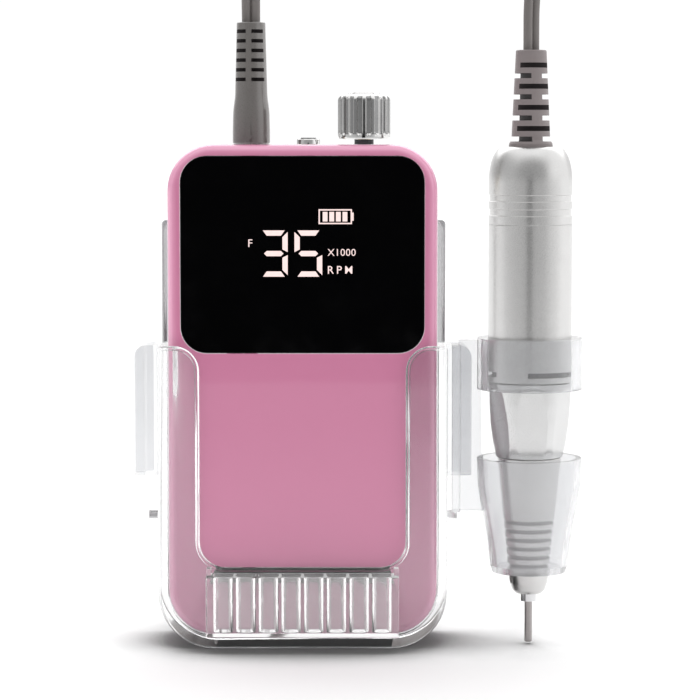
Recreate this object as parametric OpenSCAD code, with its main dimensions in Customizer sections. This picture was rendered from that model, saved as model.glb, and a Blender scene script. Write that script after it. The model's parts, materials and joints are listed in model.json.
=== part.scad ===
// Portable electric nail drill: a battery control box that stands in a clear cradle,
// with a bit rack in front, a handpiece on a bracket at its side and a flat twin cord.
// Millimetres. X right, Y back, Z up. Origin: middle of the cradle's base, on the table.

/* [Control box] */
// Width of the control box
box_w = 82; // [80:1:84]
// Height of the control box
box_h = 149.5; // [148:0.5:152]
// Depth of the control box
box_d = 26; // [26:0.5:28]
// Radius of the control box's four corners
box_corner = 14; // [12:0.5:15]
// Rounding of the front and rear edges
box_edge = 3; // [1.5:0.5:3.5]
// Thickness of the moulded walls
box_wall = 2; // [1.6:0.1:2.2]

/* [Display] */
// Width of the black display window
window_w = 74; // [70:1:75]
// Height of the black display window
window_h = 59.8; // [56:0.1:60]
// Height of the window's lower edge above the table
window_z = 90.3; // [90:0.1:92]
// Corner radius of the window
window_corner = 8; // [6:0.5:9]
// Thickness of the window
window_t = 1.5; // [1.2:0.1:1.6]

/* [Cradle] */
// Thickness of the cradle's floor
cradle_floor = 3.8; // [3:0.1:3.9]
// Thickness of the cradle's side walls
cradle_side = 2.6; // [2.2:0.1:2.6]
// Thickness of the cradle's front and back walls
cradle_wall = 2.35; // [2:0.05:2.4]
// Height of the tall back plate
cradle_back_h = 131; // [120:1:135]
// Height of the two front strips and the sides
cradle_front_h = 92; // [88:1:93]
// Height of the front window's lower edge
cradle_sill_h = 24.5; // [24:0.5:26]
// Half of the front window's width
cradle_window_half = 32; // [30:0.5:33]

/* [Bit rack] */
// Number of bit pockets
pocket_count = 8; // [6:1:8]
// Distance from one pocket to the next
pocket_pitch = 6.85; // [6.6:0.05:6.9]
// Width of a pocket
pocket_w = 5.9; // [5:0.1:6]
// Depth of a pocket from its flat back to its round front
pocket_d = 7.2; // [6:0.1:7.4]
// Height of the rack's front wall above the table
rack_top = 23.4; // [22:0.1:24]

/* [Handpiece] */
// Distance of the handpiece's axis from the middle of the control box
hp_x = 69.3; // [69.3:0.1:71]
// Diameter of the handpiece's motor housing
hp_d = 25.5; // [25:0.1:25.6]
// Diameter of the bit's shank
shank_d = 2.35; // [2.35:0.01:2.36]
// Height of the bit's lower end above the table
bit_z = 0.8; // [0.5:0.1:2]

/* [Holder bracket] */
// Outer radius of the bracket's ring
ring_r = 16; // [15.5:0.1:16.5]
// Running gap between the ring and the motor housing
ring_gap = 0.2; // [0.15:0.05:0.3]

/* [Controls] */
// Diameter of the speed knob
knob_d = 16.2; // [15:0.1:17]
// Number of flutes around the speed knob
flute_count = 20; // [16:1:24]
// Distance of the speed knob from the middle of the box
knob_x = 18.7; // [18:0.1:20]
// Distance of the direction button from the middle of the box
button_x = 1.7; // [1:0.1:2.5]
// Distance of the cord's plug from the middle of the box
plug_x = -15.8; // [-17:0.1:-15.8]

/* [Hidden] */
$fn = 64;

touch = 0.01;
slack = 0.15;
box_z = 4;
box_top = box_z + box_h;
half_w = box_w / 2;
half_d = box_d / 2;
seam_y = 5;
inner_half_w = half_w - box_wall;
front_wall = 2.2;
front_inner_y = -half_d + front_wall;
rear_inner_y = half_d - box_wall;
inner_z = box_z + box_wall;
inner_top = box_top - box_wall;
inner_corner = box_corner - box_wall;

cradle_half_w = half_w + 0.4 + cradle_side;
cradle_half_d = half_d + 0.4 + cradle_wall;
cradle_corner = box_corner + 0.4 + cradle_side;
strip_corner = 7;
sill_corner = 8.5;

socket_y = -7;
socket_low = 53.2;
socket_high = 92.9;
socket_half_y = 7;
socket_out = 7.3;
rail_x = cradle_half_w + 1.4;
rail_t = 2.6;
rail_half_y = 5.4;
rail_gap = 0.2;
web_t = 2;
stop_z = 40.2;
stop_r = 1.3;
rail_low = stop_z + stop_r;

ring_low = 79;
ring_high = 94.7;
cup_rim_z = 57.9;
cup_low_z = 22.7;
cup_wall = 1.8;
cup_hole_r = 6.5;
// Outer profile of the holder's cup, from its rim down
cup_profile = [
    [16, cup_rim_z], [15.65, 49.5], [14.7, 43.3], [13.5, 37.1], [12.6, 31], [11.9, 24.7],
    [11.2, cup_low_z],
];

hp_y = socket_y;
hp_r = hp_d / 2;
relief_top = 182;
cap_top = 152.8;
seam_z = 129.3;
sleeve_top = 81.2;
sleeve_low = 58.2;
cone_low_z = 20.6;
tip_z = 16;
motor_shaft_r = 1;

screw_x = 34;
screw_zs = [14, 143];
board_y = 6.6;
board_t = 1.6;
board_low = 82;
board_high = 146;
display_y = -7.6;
display_t = 1.4;
cell_r = 9.1;
cell_h = 65;
cell_z = 9.6;
cell_pitch = 18.8;
control_z = 138.4;
port_z = 118;

plug_z = box_top;
plug_top = 190.6;
cord_core = 4;
coil_r = 32;
coil_y = 64;
coil_half_w = 3;
coil_h = 9.4;

// Route of the cord from the handpiece, over the top and down behind the box to the coil
arch_route = [
    [hp_x, hp_y, relief_top], [hp_x, hp_y, 192], [hp_x, hp_y, 202], [67, -4, 217], [59, 5, 232],
    [44, 16, 243], [23, 25, 247], [2, 29, 241], [-12, 30, 225], [-17, 30, 205], [-17, 30, 180],
    [-17, 30, 150], [-18, 30, 120], [-22, 30, 95], [-27, 29, 70], [-31, 28, 45], [-32, 29, 26],
    [-32, 34, 11], [-32, 46, 3], [-32, 64, 2],
];
// Route of the cord from the coil, up behind the box and over into the plug
drop_route = [
    [0, 32, 9], [-7, 31, 11], [-13, 28, 19], [-16, 26, 33], [-17, 24, 55], [-17, 24, 90],
    [-17, 24, 125], [-17, 24, 160], [-17, 24, 192], [-17, 22, 206], [-16, 16, 214],
    [-16, 8, 214], [plug_x, 2, 208], [plug_x, 0, 200], [plug_x, 0, 195], [plug_x, 0, plug_top],
];

// Rounded rectangle centred on X, with its lower edge at 0
module outline(w, h, r) {
    translate([-w / 2 + r, 0]) square([w - 2 * r, h]);
    translate([-w / 2, r]) square([w, h - 2 * r]);
    for (x = [-1, 1], z = [r, h - r]) translate([x * (w / 2 - r), z]) circle(r = r);
}

// Upright slab with a rounded outline, from y0 back to y1
module slab(w, h, r, z0, y0, y1) {
    translate([0, y1, z0]) rotate([90, 0, 0]) linear_extrude(y1 - y0) outline(w, h, r);
}

// Section of a wall whose outer front edge is rounded by f
module edge_section(r, depth, f) {
    square([r - f, depth]);
    square([r, depth - f]);
    translate([r - f, depth - f]) circle(r = f);
}

// Upright block with round corners and a rounded front edge; its front is at -depth
module soft_block(w, h, r, depth, f) {
    rotate([90, 0, 0]) {
        translate([-w / 2 + r, r, 0]) cube([w - 2 * r, h - 2 * r, depth]);
        for (corner = [[1, 1, 0], [-1, 1, 90], [-1, -1, 180], [1, -1, 270]])
            translate([corner[0] * (w / 2 - r), h / 2 + corner[1] * (h / 2 - r), 0])
                rotate([0, 0, corner[2]]) rotate_extrude(angle = 90) edge_section(r, depth, f);
        for (side = [[1, 0, w / 2, h], [0, 90, h / 2, w], [-1, 180, w / 2, h], [0, 270, h / 2, w]])
            translate([0, h / 2, 0]) rotate([0, 0, side[1]])
                translate([side[2] - r, side[3] / 2 - r, 0]) rotate([90, 0, 0])
                    linear_extrude(side[3] - 2 * r) edge_section(r, depth, f);
    }
}

// Cylinder between two heights
module post(r, z0, z1) {
    translate([0, 0, z0]) cylinder(r = r, h = z1 - z0);
}

// Tube between two heights
module pipe(r_out, r_in, z0, z1) {
    difference() {
        post(r_out, z0, z1);
        post(r_in, z0 - 1, z1 + 1);
    }
}

// Cylinder along Y between two depths
module bar_y(r, x, z, y0, y1) {
    translate([x, y1, z]) rotate([90, 0, 0]) cylinder(r = r, h = y1 - y0);
}

// Block given by its lowest and highest corners
module block(low, high) {
    translate(low) cube(high - low);
}

// Point at t on the smooth curve between points i and i + 1 of route p
function route_point(p, i, t) =
    let (
        last = len(p) - 1,
        a = p[max(i - 1, 0)],
        b = p[i],
        c = p[i + 1],
        d = p[min(i + 2, last)]
    ) 0.5 * (2 * b + (c - a) * t + (2 * a - 5 * b + 4 * c - d) * t * t
        + (3 * b - a - 3 * c + d) * t * t * t);

// Route p with each stretch cut into n
function smooth_route(p, n) = concat(
    [for (i = [0 : len(p) - 2], k = [0 : n - 1]) route_point(p, i, k / n)],
    [p[len(p) - 1]]
);

function unit(v) = v / norm(v);
function heading(p, i) = unit(p[min(i + 1, len(p) - 1)] - p[max(i - 1, 0)]);

// Round tube of diameter d along the points p; side is a direction the tube never runs in
module tube(p, d, side, sides = 8) {
    rings = [
        for (i = [0 : len(p) - 1])
            let (u = unit(cross(heading(p, i), side)), v = cross(heading(p, i), u))
                for (k = [0 : sides - 1])
                    p[i] + d / 2 * (cos(360 * k / sides) * u + sin(360 * k / sides) * v)
    ];
    last = (len(p) - 1) * sides;
    walls = [
        for (i = [0 : len(p) - 2], k = [0 : sides - 1])
            let (a = i * sides + k, b = i * sides + (k + 1) % sides)
                each [[a, b, b + sides], [a, b + sides, a + sides]]
    ];
    ends = [[for (k = [sides - 1 : -1 : 0]) k], [for (k = [0 : sides - 1]) last + k]];
    polyhedron(rings, concat(walls, ends), convexity = 6);
}

// Small screw along Y: head from head_y inwards, shank on to tip_y
module screw(x, z, head_r, head_y, shank_r, under_y, tip_y) {
    difference() {
        union() {
            bar_y(head_r, x, z, min(head_y, under_y), max(head_y, under_y));
            bar_y(shank_r, x, z, min(under_y, tip_y), max(under_y, tip_y));
        }
        for (turn = [0, 90])
            translate([x, head_y, z]) rotate([0, turn, 0])
                cube([head_r * 1.2, 0.9, 0.5], center = true);
    }
}

// ---- Cradle ----

// T-shaped socket on one side wall of the cradle: side is 1 for right and -1 for left
module side_socket(side) {
    outer = cradle_half_w + socket_out;
    channel_in = rail_x - rail_gap;
    channel_out = rail_x + rail_t + rail_gap;
    mirror([side < 0 ? 1 : 0, 0, 0])
        difference() {
            intersection() {
                block([cradle_half_w - 0.5, socket_y - socket_half_y, socket_low],
                    [outer, socket_y + socket_half_y, socket_high]);
                translate([0, socket_y + socket_half_y, socket_low]) rotate([90, 0, 0])
                    linear_extrude(2 * socket_half_y) {
                        square([outer, socket_high - socket_low - 4]);
                        square([outer - 4, socket_high - socket_low]);
                        translate([outer - 4, socket_high - socket_low - 4]) circle(r = 4);
                    }
            }
            block([channel_in, socket_y - rail_half_y - rail_gap, socket_low - 1],
                [channel_out, socket_y + rail_half_y + rail_gap, socket_high + 1]);
            block([channel_out - 1, socket_y - web_t / 2 - rail_gap, socket_low - 1],
                [outer + 1, socket_y + web_t / 2 + rail_gap, socket_high + 1]);
        }
}

module cradle_shell() {
    inner_half_w = half_w + 0.4;
    inner_r = box_corner + 0.4;
    color("aliceblue", 0.5) {
        difference() {
            slab(2 * cradle_half_w, 2 * cradle_front_h, cradle_corner, 0, -cradle_half_d, cradle_half_d);
            slab(2 * inner_half_w, 2 * cradle_front_h, inner_r, cradle_floor,
                -half_d - 0.4, half_d + 0.4);
            slab(2 * cradle_window_half, 2 * cradle_front_h, sill_corner, cradle_sill_h,
                -cradle_half_d - 1, -half_d);
            block([-cradle_half_w - 1, -cradle_half_d - 1, cradle_front_h],
                [cradle_half_w + 1, cradle_half_d + 1, 3 * cradle_front_h]);
            for (side = [-1, 1]) strip_top(side);
        }
        difference() {
            slab(2 * cradle_half_w, cradle_back_h, 4, 0, half_d + 0.4, cradle_half_d);
            block([-cradle_half_w - 1, 0, -1], [cradle_half_w + 1, cradle_half_d + 1, cradle_front_h - 8]);
        }
        for (side = [-1, 1]) {
            side_socket(side);
            translate([side * (cradle_half_w - 0.5), socket_y, stop_z]) rotate([0, side * 90, 0])
                cylinder(r = stop_r, h = 3.7);
        }
    }
}

// Corner cut away from the top of a front strip, beside the window
module strip_top(side) {
    x = cradle_window_half;
    z = cradle_front_h - strip_corner;
    translate([0, -half_d, 0]) rotate([90, 0, 0]) linear_extrude(cradle_wall + 1.4)
        mirror([side < 0 ? 1 : 0, 0])
            difference() {
                translate([x - 1, z]) square([strip_corner + 1, strip_corner + 1]);
                translate([x + strip_corner, z]) circle(r = strip_corner);
            }
}

module bit_rack() {
    back = -cradle_half_d;
    back_wall = 0.9;
    front_wall = 0.95;
    floor_t = 1.2;
    end_wall = 2.2;
    low = 5.2;
    depth = back_wall + pocket_d + front_wall;
    half = (pocket_count * pocket_pitch - (pocket_pitch - pocket_w)) / 2 + end_wall;
    color("aliceblue", 0.5) difference() {
        union() {
            block([-half, back - depth, low], [half, back, rack_top]);
            for (side = [-1, 1])
                block([side > 0 ? half - 1.4 : -half, back - depth / 2, rack_top - 1],
                    [side > 0 ? half : -half + 1.4, back, rack_top + 2]);
        }
        for (i = [0 : pocket_count - 1])
            translate([(i - (pocket_count - 1) / 2) * pocket_pitch, 0, low + floor_t])
                linear_extrude(rack_top) {
                    translate([-pocket_w / 2, back - back_wall - pocket_d + pocket_w / 2])
                        square([pocket_w, pocket_d - pocket_w / 2]);
                    translate([0, back - back_wall - pocket_d + pocket_w / 2])
                        circle(d = pocket_w);
                }
    }
}

module handpiece_holder() {
    web_edge = hp_x - ring_r + 0.8;
    rail_end = rail_x + rail_t;
    floor_z = cup_low_z + 2;
    inside = [for (p = cup_profile) if (p[1] > floor_z + 1) [p[0] - cup_wall, p[1]]];
    color("aliceblue", 0.5) difference() {
        union() {
            block([rail_x, socket_y - rail_half_y, rail_low], [rail_end, socket_y + rail_half_y, 92.5]);
            block([rail_end - 0.5, socket_y - web_t / 2, rail_low], [web_edge, socket_y + web_t / 2, 94]);
            block([rail_end, socket_y - web_t / 2, rail_low], [hp_x - 8, socket_y + web_t / 2, cup_rim_z - 0.5]);
            translate([hp_x, hp_y, 0]) {
                post(ring_r, ring_low, ring_high);
                rotate_extrude() polygon(concat([[0, cup_rim_z]], cup_profile, [[0, cup_low_z]]));
            }
        }
        translate([hp_x, hp_y, 0]) {
            post(hp_r + ring_gap, ring_low - 1, ring_high + 1);
            post(cup_hole_r, cup_low_z - 1, floor_z + 1);
            rotate_extrude() polygon(concat(
                [[0, cup_rim_z + 2], [14.3, cup_rim_z + 2]], inside, [[10, floor_z], [0, floor_z]]
            ));
        }
    }
}

// ---- Control box shells ----

module front_cover() {
    pocket_gap = 0.1;
    color("hotpink") {
        difference() {
            translate([0, seam_y, box_z])
                soft_block(box_w, box_h, box_corner, seam_y + half_d, box_edge);
            slab(2 * inner_half_w, inner_top - inner_z, inner_corner, inner_z, front_inner_y, seam_y + 1);
            slab(window_w + 2 * pocket_gap, window_h + 2 * pocket_gap, window_corner + pocket_gap,
                window_z - pocket_gap, -half_d - 1, -half_d + window_t);
            block([-24, -half_d, 98], [24, 0, 146]);
            translate([plug_x, 0, 0]) post(4, inner_top - 1, box_top + 1);
            translate([button_x, 0, 0]) post(3, inner_top - 1, box_top + 1);
            translate([knob_x, 0, 0]) post(3, inner_top - 1, box_top + 1);
            translate([-half_w - 1, 0, port_z]) rotate([0, 90, 0]) cylinder(r = 4, h = box_wall + 2);
        }
        for (x = [-screw_x, screw_x], z = screw_zs)
            difference() {
                bar_y(3, x, z, front_inner_y - 0.5, 1);
                bar_y(1.3, x, z, -8, 2);
            }
        for (x = [-27, 27], z = [100, 144.5])
            difference() {
                bar_y(2.2, x, z, front_inner_y - 0.5, display_y);
                bar_y(0.75, x, z, front_inner_y + 0.6, display_y + 1);
            }
    }
}

module rear_cover() {
    lip = 1.2;
    color("hotpink") difference() {
        union() {
            difference() {
                mirror([0, 1, 0]) translate([0, -seam_y, box_z])
                    soft_block(box_w, box_h, box_corner, half_d - seam_y, box_edge);
                slab(2 * inner_half_w, inner_top - inner_z, inner_corner, inner_z,
                    seam_y - 1, rear_inner_y);
            }
            difference() {
                slab(2 * inner_half_w - 0.2, inner_top - inner_z - 0.2, inner_corner - 0.1,
                    inner_z + 0.1, seam_y - 2, seam_y + 2);
                slab(2 * (inner_half_w - lip), inner_top - inner_z - 2 * lip, inner_corner - lip,
                    inner_z + lip, seam_y - 3, rear_inner_y);
                block([plug_x - 7, seam_y - 3, inner_top - 3], [knob_x + 8, seam_y + 3, inner_top]);
                block([-inner_half_w, seam_y - 3, port_z - 7], [3 - inner_half_w, seam_y + 3, port_z + 7]);
            }
            for (x = [-screw_x, screw_x], z = screw_zs) bar_y(3.8, x, z, 1.1, rear_inner_y + 0.5);
            for (x = [-26, 26], z = [86, 142]) bar_y(2.4, x, z, board_y + board_t, rear_inner_y + 0.5);
        }
        for (x = [-screw_x, screw_x], z = screw_zs) {
            bar_y(1.5, x, z, 0, half_d);
            bar_y(2.7, x, z, 9.5, half_d + 1);
        }
        for (x = [-26, 26], z = [86, 142]) bar_y(0.95, x, z, board_y, rear_inner_y);
    }
}

module case_screws() {
    color("silver") for (x = [-screw_x, screw_x], z = screw_zs)
        screw(x, z, 2.5, 11.6, 1.25, 9.5, -7);
}

module display_window() {
    color("black")
        slab(window_w, window_h, window_corner, window_z, -half_d, -half_d + window_t - touch);
}

module display_module() {
    // White light block with a cell for each readout segment
    color("whitesmoke") difference() {
        block([-23.5, -11.4, 98.5], [23.5, display_y, 145.5]);
        for (x = [-8, 1.85])
            for (z = [114.6, 120.7])
                block([x - 2.6, -12, z], [x + 2.6, -9.4, z + 5]);
        block([4.9, -12, 129.5], [15.4, -9.4, 133.9]);
    }
}

module display_board() {
    color("darkgreen") difference() {
        block([-30, display_y, 97], [30, display_y + display_t, 147.5]);
        for (x = [-27, 27], z = [100, 144.5]) bar_y(0.9, x, z, display_y - 1, 0);
    }
}

module display_screws() {
    color("silver") for (x = [-27, 27], z = [100, 144.5])
        screw(x, z, 1.6, display_y + display_t + 0.9, 0.7, display_y + display_t, display_y - 2.4);
}

module main_board() {
    color("darkgreen") difference() {
        block([-29.5, board_y, board_low], [29.5, board_y + board_t, board_high]);
        for (x = [-26, 26], z = [86, 142]) bar_y(1.1, x, z, board_y - 1, board_y + 3);
    }
}

module board_components() {
    front = board_y;
    color("dimgray") {
        block([-6, front - 1.2, 100], [4, front, 110]);
        block([9, front - 2.2, 98], [16, front, 106]);
        block([-20, front - 4.5, 104], [-12, front, 112]);
        block([9, front - 1.6, 112], [20, front, 118]);
        for (x = [-18, -10]) bar_y(3.2, x, 92, front - 9, front);
        for (x = [0, 5, 10]) block([x, front - 1, 120], [x + 3, front, 125]);
        block([-8, front - 5, 84], [4, front, 89]);
    }
}

module board_screws() {
    color("silver") for (x = [-26, 26], z = [86, 142])
        screw(x, z, 2.1, board_y - 1.3, 0.9, board_y, board_y + board_t + 2.3);
}

module control_board() {
    color("darkgreen")
        block([-3.5, -5.6, control_z - 1.4], [26.5, 5.6, control_z]);
}

// ---- Battery ----

module battery_holder() {
    half = 1.5 * cell_pitch + 1.6;
    back = rear_inner_y - slack;
    low = cell_z - 0.6;
    high = cell_z + cell_h + 0.6;
    color("dimgray") {
        block([-half, back - 1.2, low - 1.2], [half, back, high + 1.2]);
        block([-half, -5, low - 1.2], [half, back, low]);
        block([-half, -5, high], [half, back, high + 1.2]);
        for (x = [-half, half - 1.2]) block([x, -5, low - 1.2], [x + 1.2, back, high + 1.2]);
    }
}

// One round lithium cell with its raised positive cap; up is 1 when the cap is on top
module cell(column, up) {
    x = (column - 2) * cell_pitch;
    color("steelblue") translate([x, 0, cell_z + cell_h / 2]) rotate([up > 0 ? 0 : 180, 0, 0]) {
        post(cell_r, -cell_h / 2, cell_h / 2 - 1.5);
        post(4, cell_h / 2 - 2, cell_h / 2);
    }
}

module battery_cell_1() cell(1, 1);
module battery_cell_2() cell(2, -1);
module battery_cell_3() cell(3, 1);

module battery_contacts() {
    low = cell_z - 0.5;
    high = cell_z + cell_h + 0.5;
    color("silver") {
        block([-cell_pitch - 4, -3, low], [-cell_pitch + 4, 3, low + 0.4]);
        block([-4, -3, low], [cell_pitch + 4, 3, low + 0.4]);
        block([-cell_pitch - 4, -3, high - 0.4], [4, 3, high]);
        block([cell_pitch - 4, -3, high - 0.4], [cell_pitch + 4, 3, high]);
    }
}

module battery_leads() {
    start = cell_z + cell_h + 0.6 + 1.2 + slack;
    color("red") for (x = [-5, 1])
        tube(smooth_route([
            [x, 4, start], [x, 3.6, start + 2], [x, 2.8, start + 4], [x, 3, 84 - slack]
        ], 3), 1.2, [1, 0, 0]);
}

// ---- Sockets and controls ----

module charge_port() {
    color("dimgray") translate([-half_w, 0, port_z]) rotate([0, 90, 0]) {
        difference() {
            union() {
                post(3.9, 0, 12);
                post(5, box_wall + touch, box_wall + 1.2);
            }
            post(2.9, -1, 9.5);
        }
        post(1, 1.5, 10);
    }
}

module handpiece_jack() {
    color("dimgray") translate([plug_x, 0, 0]) difference() {
        union() {
            post(4.95, 135, inner_top - touch);
            post(3.9, inner_top - 1, box_top - touch);
        }
        post(1.85, 138, box_top + 1);
    }
}

module jack_leads() {
    color("red") for (x = [-18, -13.6])
        tube(smooth_route([
            [x, 0, 135], [x, 0.2, 131], [x, 2, 127.5], [x, 4.5, 126.5], [x, board_y, 126.5]
        ], 3), 1.2, [1, 0, 0]);
}

module speed_pot() {
    color("dimgray") translate([knob_x, 0, 0]) difference() {
        union() {
            post(5.8, control_z, inner_top - touch);
            post(2.95, inner_top - 1, box_top + 3);
        }
        post(4.6, control_z + 1.2, control_z + 8);
        post(2.1, control_z + 1, box_top + 4);
    }
}

module pot_shaft() {
    color("silver") translate([knob_x, 0, 0]) post(2, control_z + 1.3, box_top + 12.5);
}

module pot_wiper() {
    color("goldenrod") translate([knob_x, 0, 0]) pipe(4.3, 2.02, control_z + 2, control_z + 3.6);
}

module speed_knob() {
    low = box_top + 1.5;
    high = box_top + 16;
    r = knob_d / 2;
    color("silver") translate([knob_x, 0, 0]) difference() {
        rotate_extrude() polygon([
            [0, low], [r - 0.5, low], [r, low + 0.5], [r, high - 2.2], [r - 0.7, high - 0.9],
            [r - 2.2, high - 0.1], [r - 3.4, high], [0, high]
        ]);
        for (i = [0 : flute_count - 1])
            rotate([0, 0, i * 360 / flute_count]) translate([r + 0.35, 0, 0])
                post(0.95, low + 1.6, high + 1);
        post(3.3, low - 1, low + 2.2);
        post(2.02, low - 1, box_top + 12.6);
    }
}

module button_bezel() {
    color("silver") translate([button_x, 0, 0]) difference() {
        union() {
            post(2.95, inner_top - 3, box_top + 0.5);
            post(3.6, box_top + touch, box_top + 1.6);
            post(4.2, inner_top - 2.2, inner_top - touch);
        }
        post(2.55, inner_top - 4, box_top + 3);
    }
}

module button_cap() {
    color("silver") translate([button_x, 0, 0]) post(2.45, 148.8, box_top + 2.1);
}

module switch_plunger() {
    color("white") translate([button_x, 0, 0]) post(1.6, control_z + 5.5, 148.8);
}

module button_switch() {
    color("dimgray") translate([button_x, 0, 0]) difference() {
        block([-3.5, -3.5, control_z], [3.5, 3.5, control_z + 7]);
        post(1.7, control_z + 4.2, control_z + 8);
    }
}

// ---- Plug and cord ----

module plug_body() {
    slot_zs = [for (i = [0 : 5]) 173.7 + 2.95 * i];
    color("gray") translate([plug_x, 0, 0]) difference() {
        rotate_extrude() polygon([
            [0, plug_z + touch], [5.5, plug_z + touch], [5.75, plug_z + 0.4], [5.75, 164.8],
            [4.95, 167.9], [4.95, 170], [4.4, plug_top], [0, plug_top]
        ]);
        for (z = slot_zs, front = [-1, 1], side = [-1, 1])
            translate([side * 2.4, front * 3.6, z]) cube([3, 3.2, 1.05], center = true);
        post(1.6, plug_z - 1, plug_z + 8);
    }
}

module plug_contact() {
    color("gold") translate([plug_x, 0, 0]) {
        post(1.75, 139.5, plug_z + touch);
        post(1.58, plug_z, plug_z + 7.5);
    }
}

module cord_drop() {
    color("gray") tube(smooth_route(drop_route, 2), cord_core, [1, -1, 0]);
}

module cord_arch() {
    color("gray") tube(smooth_route(arch_route, 2), cord_core, [1, 1, 0]);
}

module cord_coil() {
    color("gray") translate([0, coil_y, 0])
        pipe(coil_r + coil_half_w, coil_r - coil_half_w, 0, coil_h);
}

// ---- Handpiece ----

module at_handpiece() {
    translate([hp_x, hp_y, 0]) children();
}

module cord_relief() {
    color("gray") at_handpiece() difference() {
        rotate_extrude() polygon([
            [0, cap_top - 3.8], [6, cap_top - 3.8], [6, cap_top - 1.9], [4.5, cap_top - 1.9],
            [4.5, cap_top + touch], [7.4, cap_top + touch], [7.2, cap_top + 0.8],
            [6.3, cap_top + 1.8], [6.3, cap_top + 2], [4.6, relief_top], [0, relief_top]
        ]);
        for (i = [0 : 3], front = [-1, 1])
            translate([0, front * 5.2, 158.9 + 6.35 * i]) cube([7.4, 5, 1.6], center = true);
        for (i = [0 : 3], side = [-1, 1])
            translate([side * 5.4, 0, 155.6 + 6.4 * i]) cube([4.4, 14, 1.5], center = true);
        post(2.2, cap_top - 5, cap_top + 2);
    }
}

module rear_cap() {
    wall = 1.8;
    groove = 0.4;
    // The end is rounded by an arc that starts at shoulder_z
    shoulder_z = 142.5;
    arc_in = 4.5;
    arc_steps = 8;
    arc = [
        for (i = [0 : arc_steps])
            let (a = 90 * i / arc_steps)
                [hp_r - arc_in + arc_in * cos(a), shoulder_z + (cap_top - shoulder_z) * sin(a)]
    ];
    color("silver") at_handpiece() difference() {
        union() {
            rotate_extrude() polygon(concat(
                [[0, seam_z], [hp_r, seam_z], [hp_r, 131.9], [hp_r - groove, 131.9],
                    [hp_r - groove, 134], [hp_r, 134], [hp_r, 136.2], [hp_r - groove, 136.2],
                    [hp_r - groove, 138.3], [hp_r, 138.3]],
                arc,
                [[0, cap_top]]
            ));
            post(11.6, seam_z - 4, seam_z + 1);
        }
        post(10.6, seam_z - 5, 140);
        rotate_extrude() polygon([[0, 139.9], [10.6, 139.9], [10.2, 144], [8, 149], [6.5, cap_top - wall],
            [0, cap_top - wall]]);
        post(4.6, cap_top - 3, cap_top + 1);
    }
}

module motor_leads() {
    color("red") at_handpiece() for (side = [-1, 1])
        tube(smooth_route([
            [side * 1.1, 0, cap_top - 4], [side * 1.6, 0, 146], [side * 4, 0, 138],
            [side * 5.4, 0, 130], [side * 5.5, 0, 124.2]
        ], 3), 1.1, [0, 1, 0]);
}

module motor_housing() {
    slot_low = 83.3;
    slot_h = 1.5;
    color("silver") at_handpiece() difference() {
        post(hp_r, sleeve_top + touch, seam_z - touch);
        post(11.65, 88.5, seam_z + 1);
        post(9, sleeve_top - 1, 90);
        for (start = [-96, 24, 144])
            rotate([0, 0, start]) translate([0, 0, slot_low])
                rotate_extrude(angle = 76) translate([hp_r - 1.3, 0]) square([3, slot_h]);
    }
}

module motor_can() {
    color("darkgray") at_handpiece() difference() {
        post(11, 92, 121);
        post(10.2, 93, 122);
        post(1.3, 91, 94);
    }
}

module motor_magnets() {
    color("dimgray") at_handpiece() for (start = [-60, 120])
        rotate([0, 0, start]) translate([0, 0, 97])
            rotate_extrude(angle = 120) translate([8.2, 0]) square([1.95, 19]);
}

module brush_holder() {
    color("saddlebrown") at_handpiece() difference() {
        union() {
            post(11, 121 + touch, 124.2);
            post(6.8, 117, 122);
        }
        post(3.1, 116, 122.8);
        post(1.3, 116, 125);
        for (side = [0, 180]) rotate([0, 0, side])
            block([2, -1.6, 117.8], [6.4, 1.6, 121.4]);
    }
}

module carbon_brushes() {
    color("black") at_handpiece() for (side = [0, 180])
        rotate([0, 0, side]) block([3.05, -1.5, 117.9], [6.3, 1.5, 121.3]);
}

module nose_cone() {
    groove_zs = [for (i = [0 : 5]) 24.5 + 2.7 * i];
    cone_low_r = 5.95;
    cone_high_r = 9.75;
    groove_depth = 0.45;
    slope = (cone_high_r - cone_low_r) / (sleeve_low - cone_low_z);
    // The cone's visible outside runs up to the lock sleeve; its shank goes on inside the sleeve
    color("silver") at_handpiece() difference() {
        rotate_extrude() polygon([
            [0, tip_z], [3.8, tip_z], [4.7, tip_z + 0.6], [5.3, tip_z + 1.8],
            [5.8, tip_z + 3.4], [cone_low_r, cone_low_z], [cone_high_r, sleeve_low - 0.2],
            [8.6, sleeve_low - 0.2], [8.6, 88.7], [11.5, 88.7], [11.5, 91.4], [0, 91.4]
        ]);
        for (z = groove_zs)
            translate([0, 0, z]) difference() {
                post(12, 0, 1.1);
                post(cone_low_r + slope * (z - cone_low_z) - groove_depth, -1, 2);
            }
        post(3.2, tip_z - 1, 24);
        post(5.0, 22.5, 50);
        post(6.5, 49, 92);
    }
}

module front_bearing() {
    color("silver") at_handpiece() pipe(4.98, 3.05, 22.6, 26.6);
}

module rear_bearing() {
    color("silver") at_handpiece() pipe(6.48, 3.05, 49.1, 54.1);
}

module lock_sleeve() {
    facet_count = 6;
    color("silver") at_handpiece() difference() {
        rotate_extrude() polygon([
            [8.75, sleeve_low], [10.2, sleeve_low], [11.15, 62.5], [11.95, 68.5], [12.4, 74.5],
            [12.7, sleeve_top - touch], [8.75, sleeve_top - touch]
        ]);
        for (i = [0 : facet_count - 1])
            rotate([0, 0, (i + 0.5) * 360 / facet_count]) translate([9.85, -8, sleeve_low + 1.8])
                rotate([0, 7, 0]) cube([8, 16, 26]);
        post(10, 70, sleeve_top + 1);
    }
}

module lock_cam() {
    color("goldenrod") at_handpiece() difference() {
        pipe(9.95, 8.75, 70.1, 76.1);
        for (a = [0, 120, 240]) rotate([0, 0, a]) block([8, -1.5, 73.5], [12, 1.5, 77]);
    }
}

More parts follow.
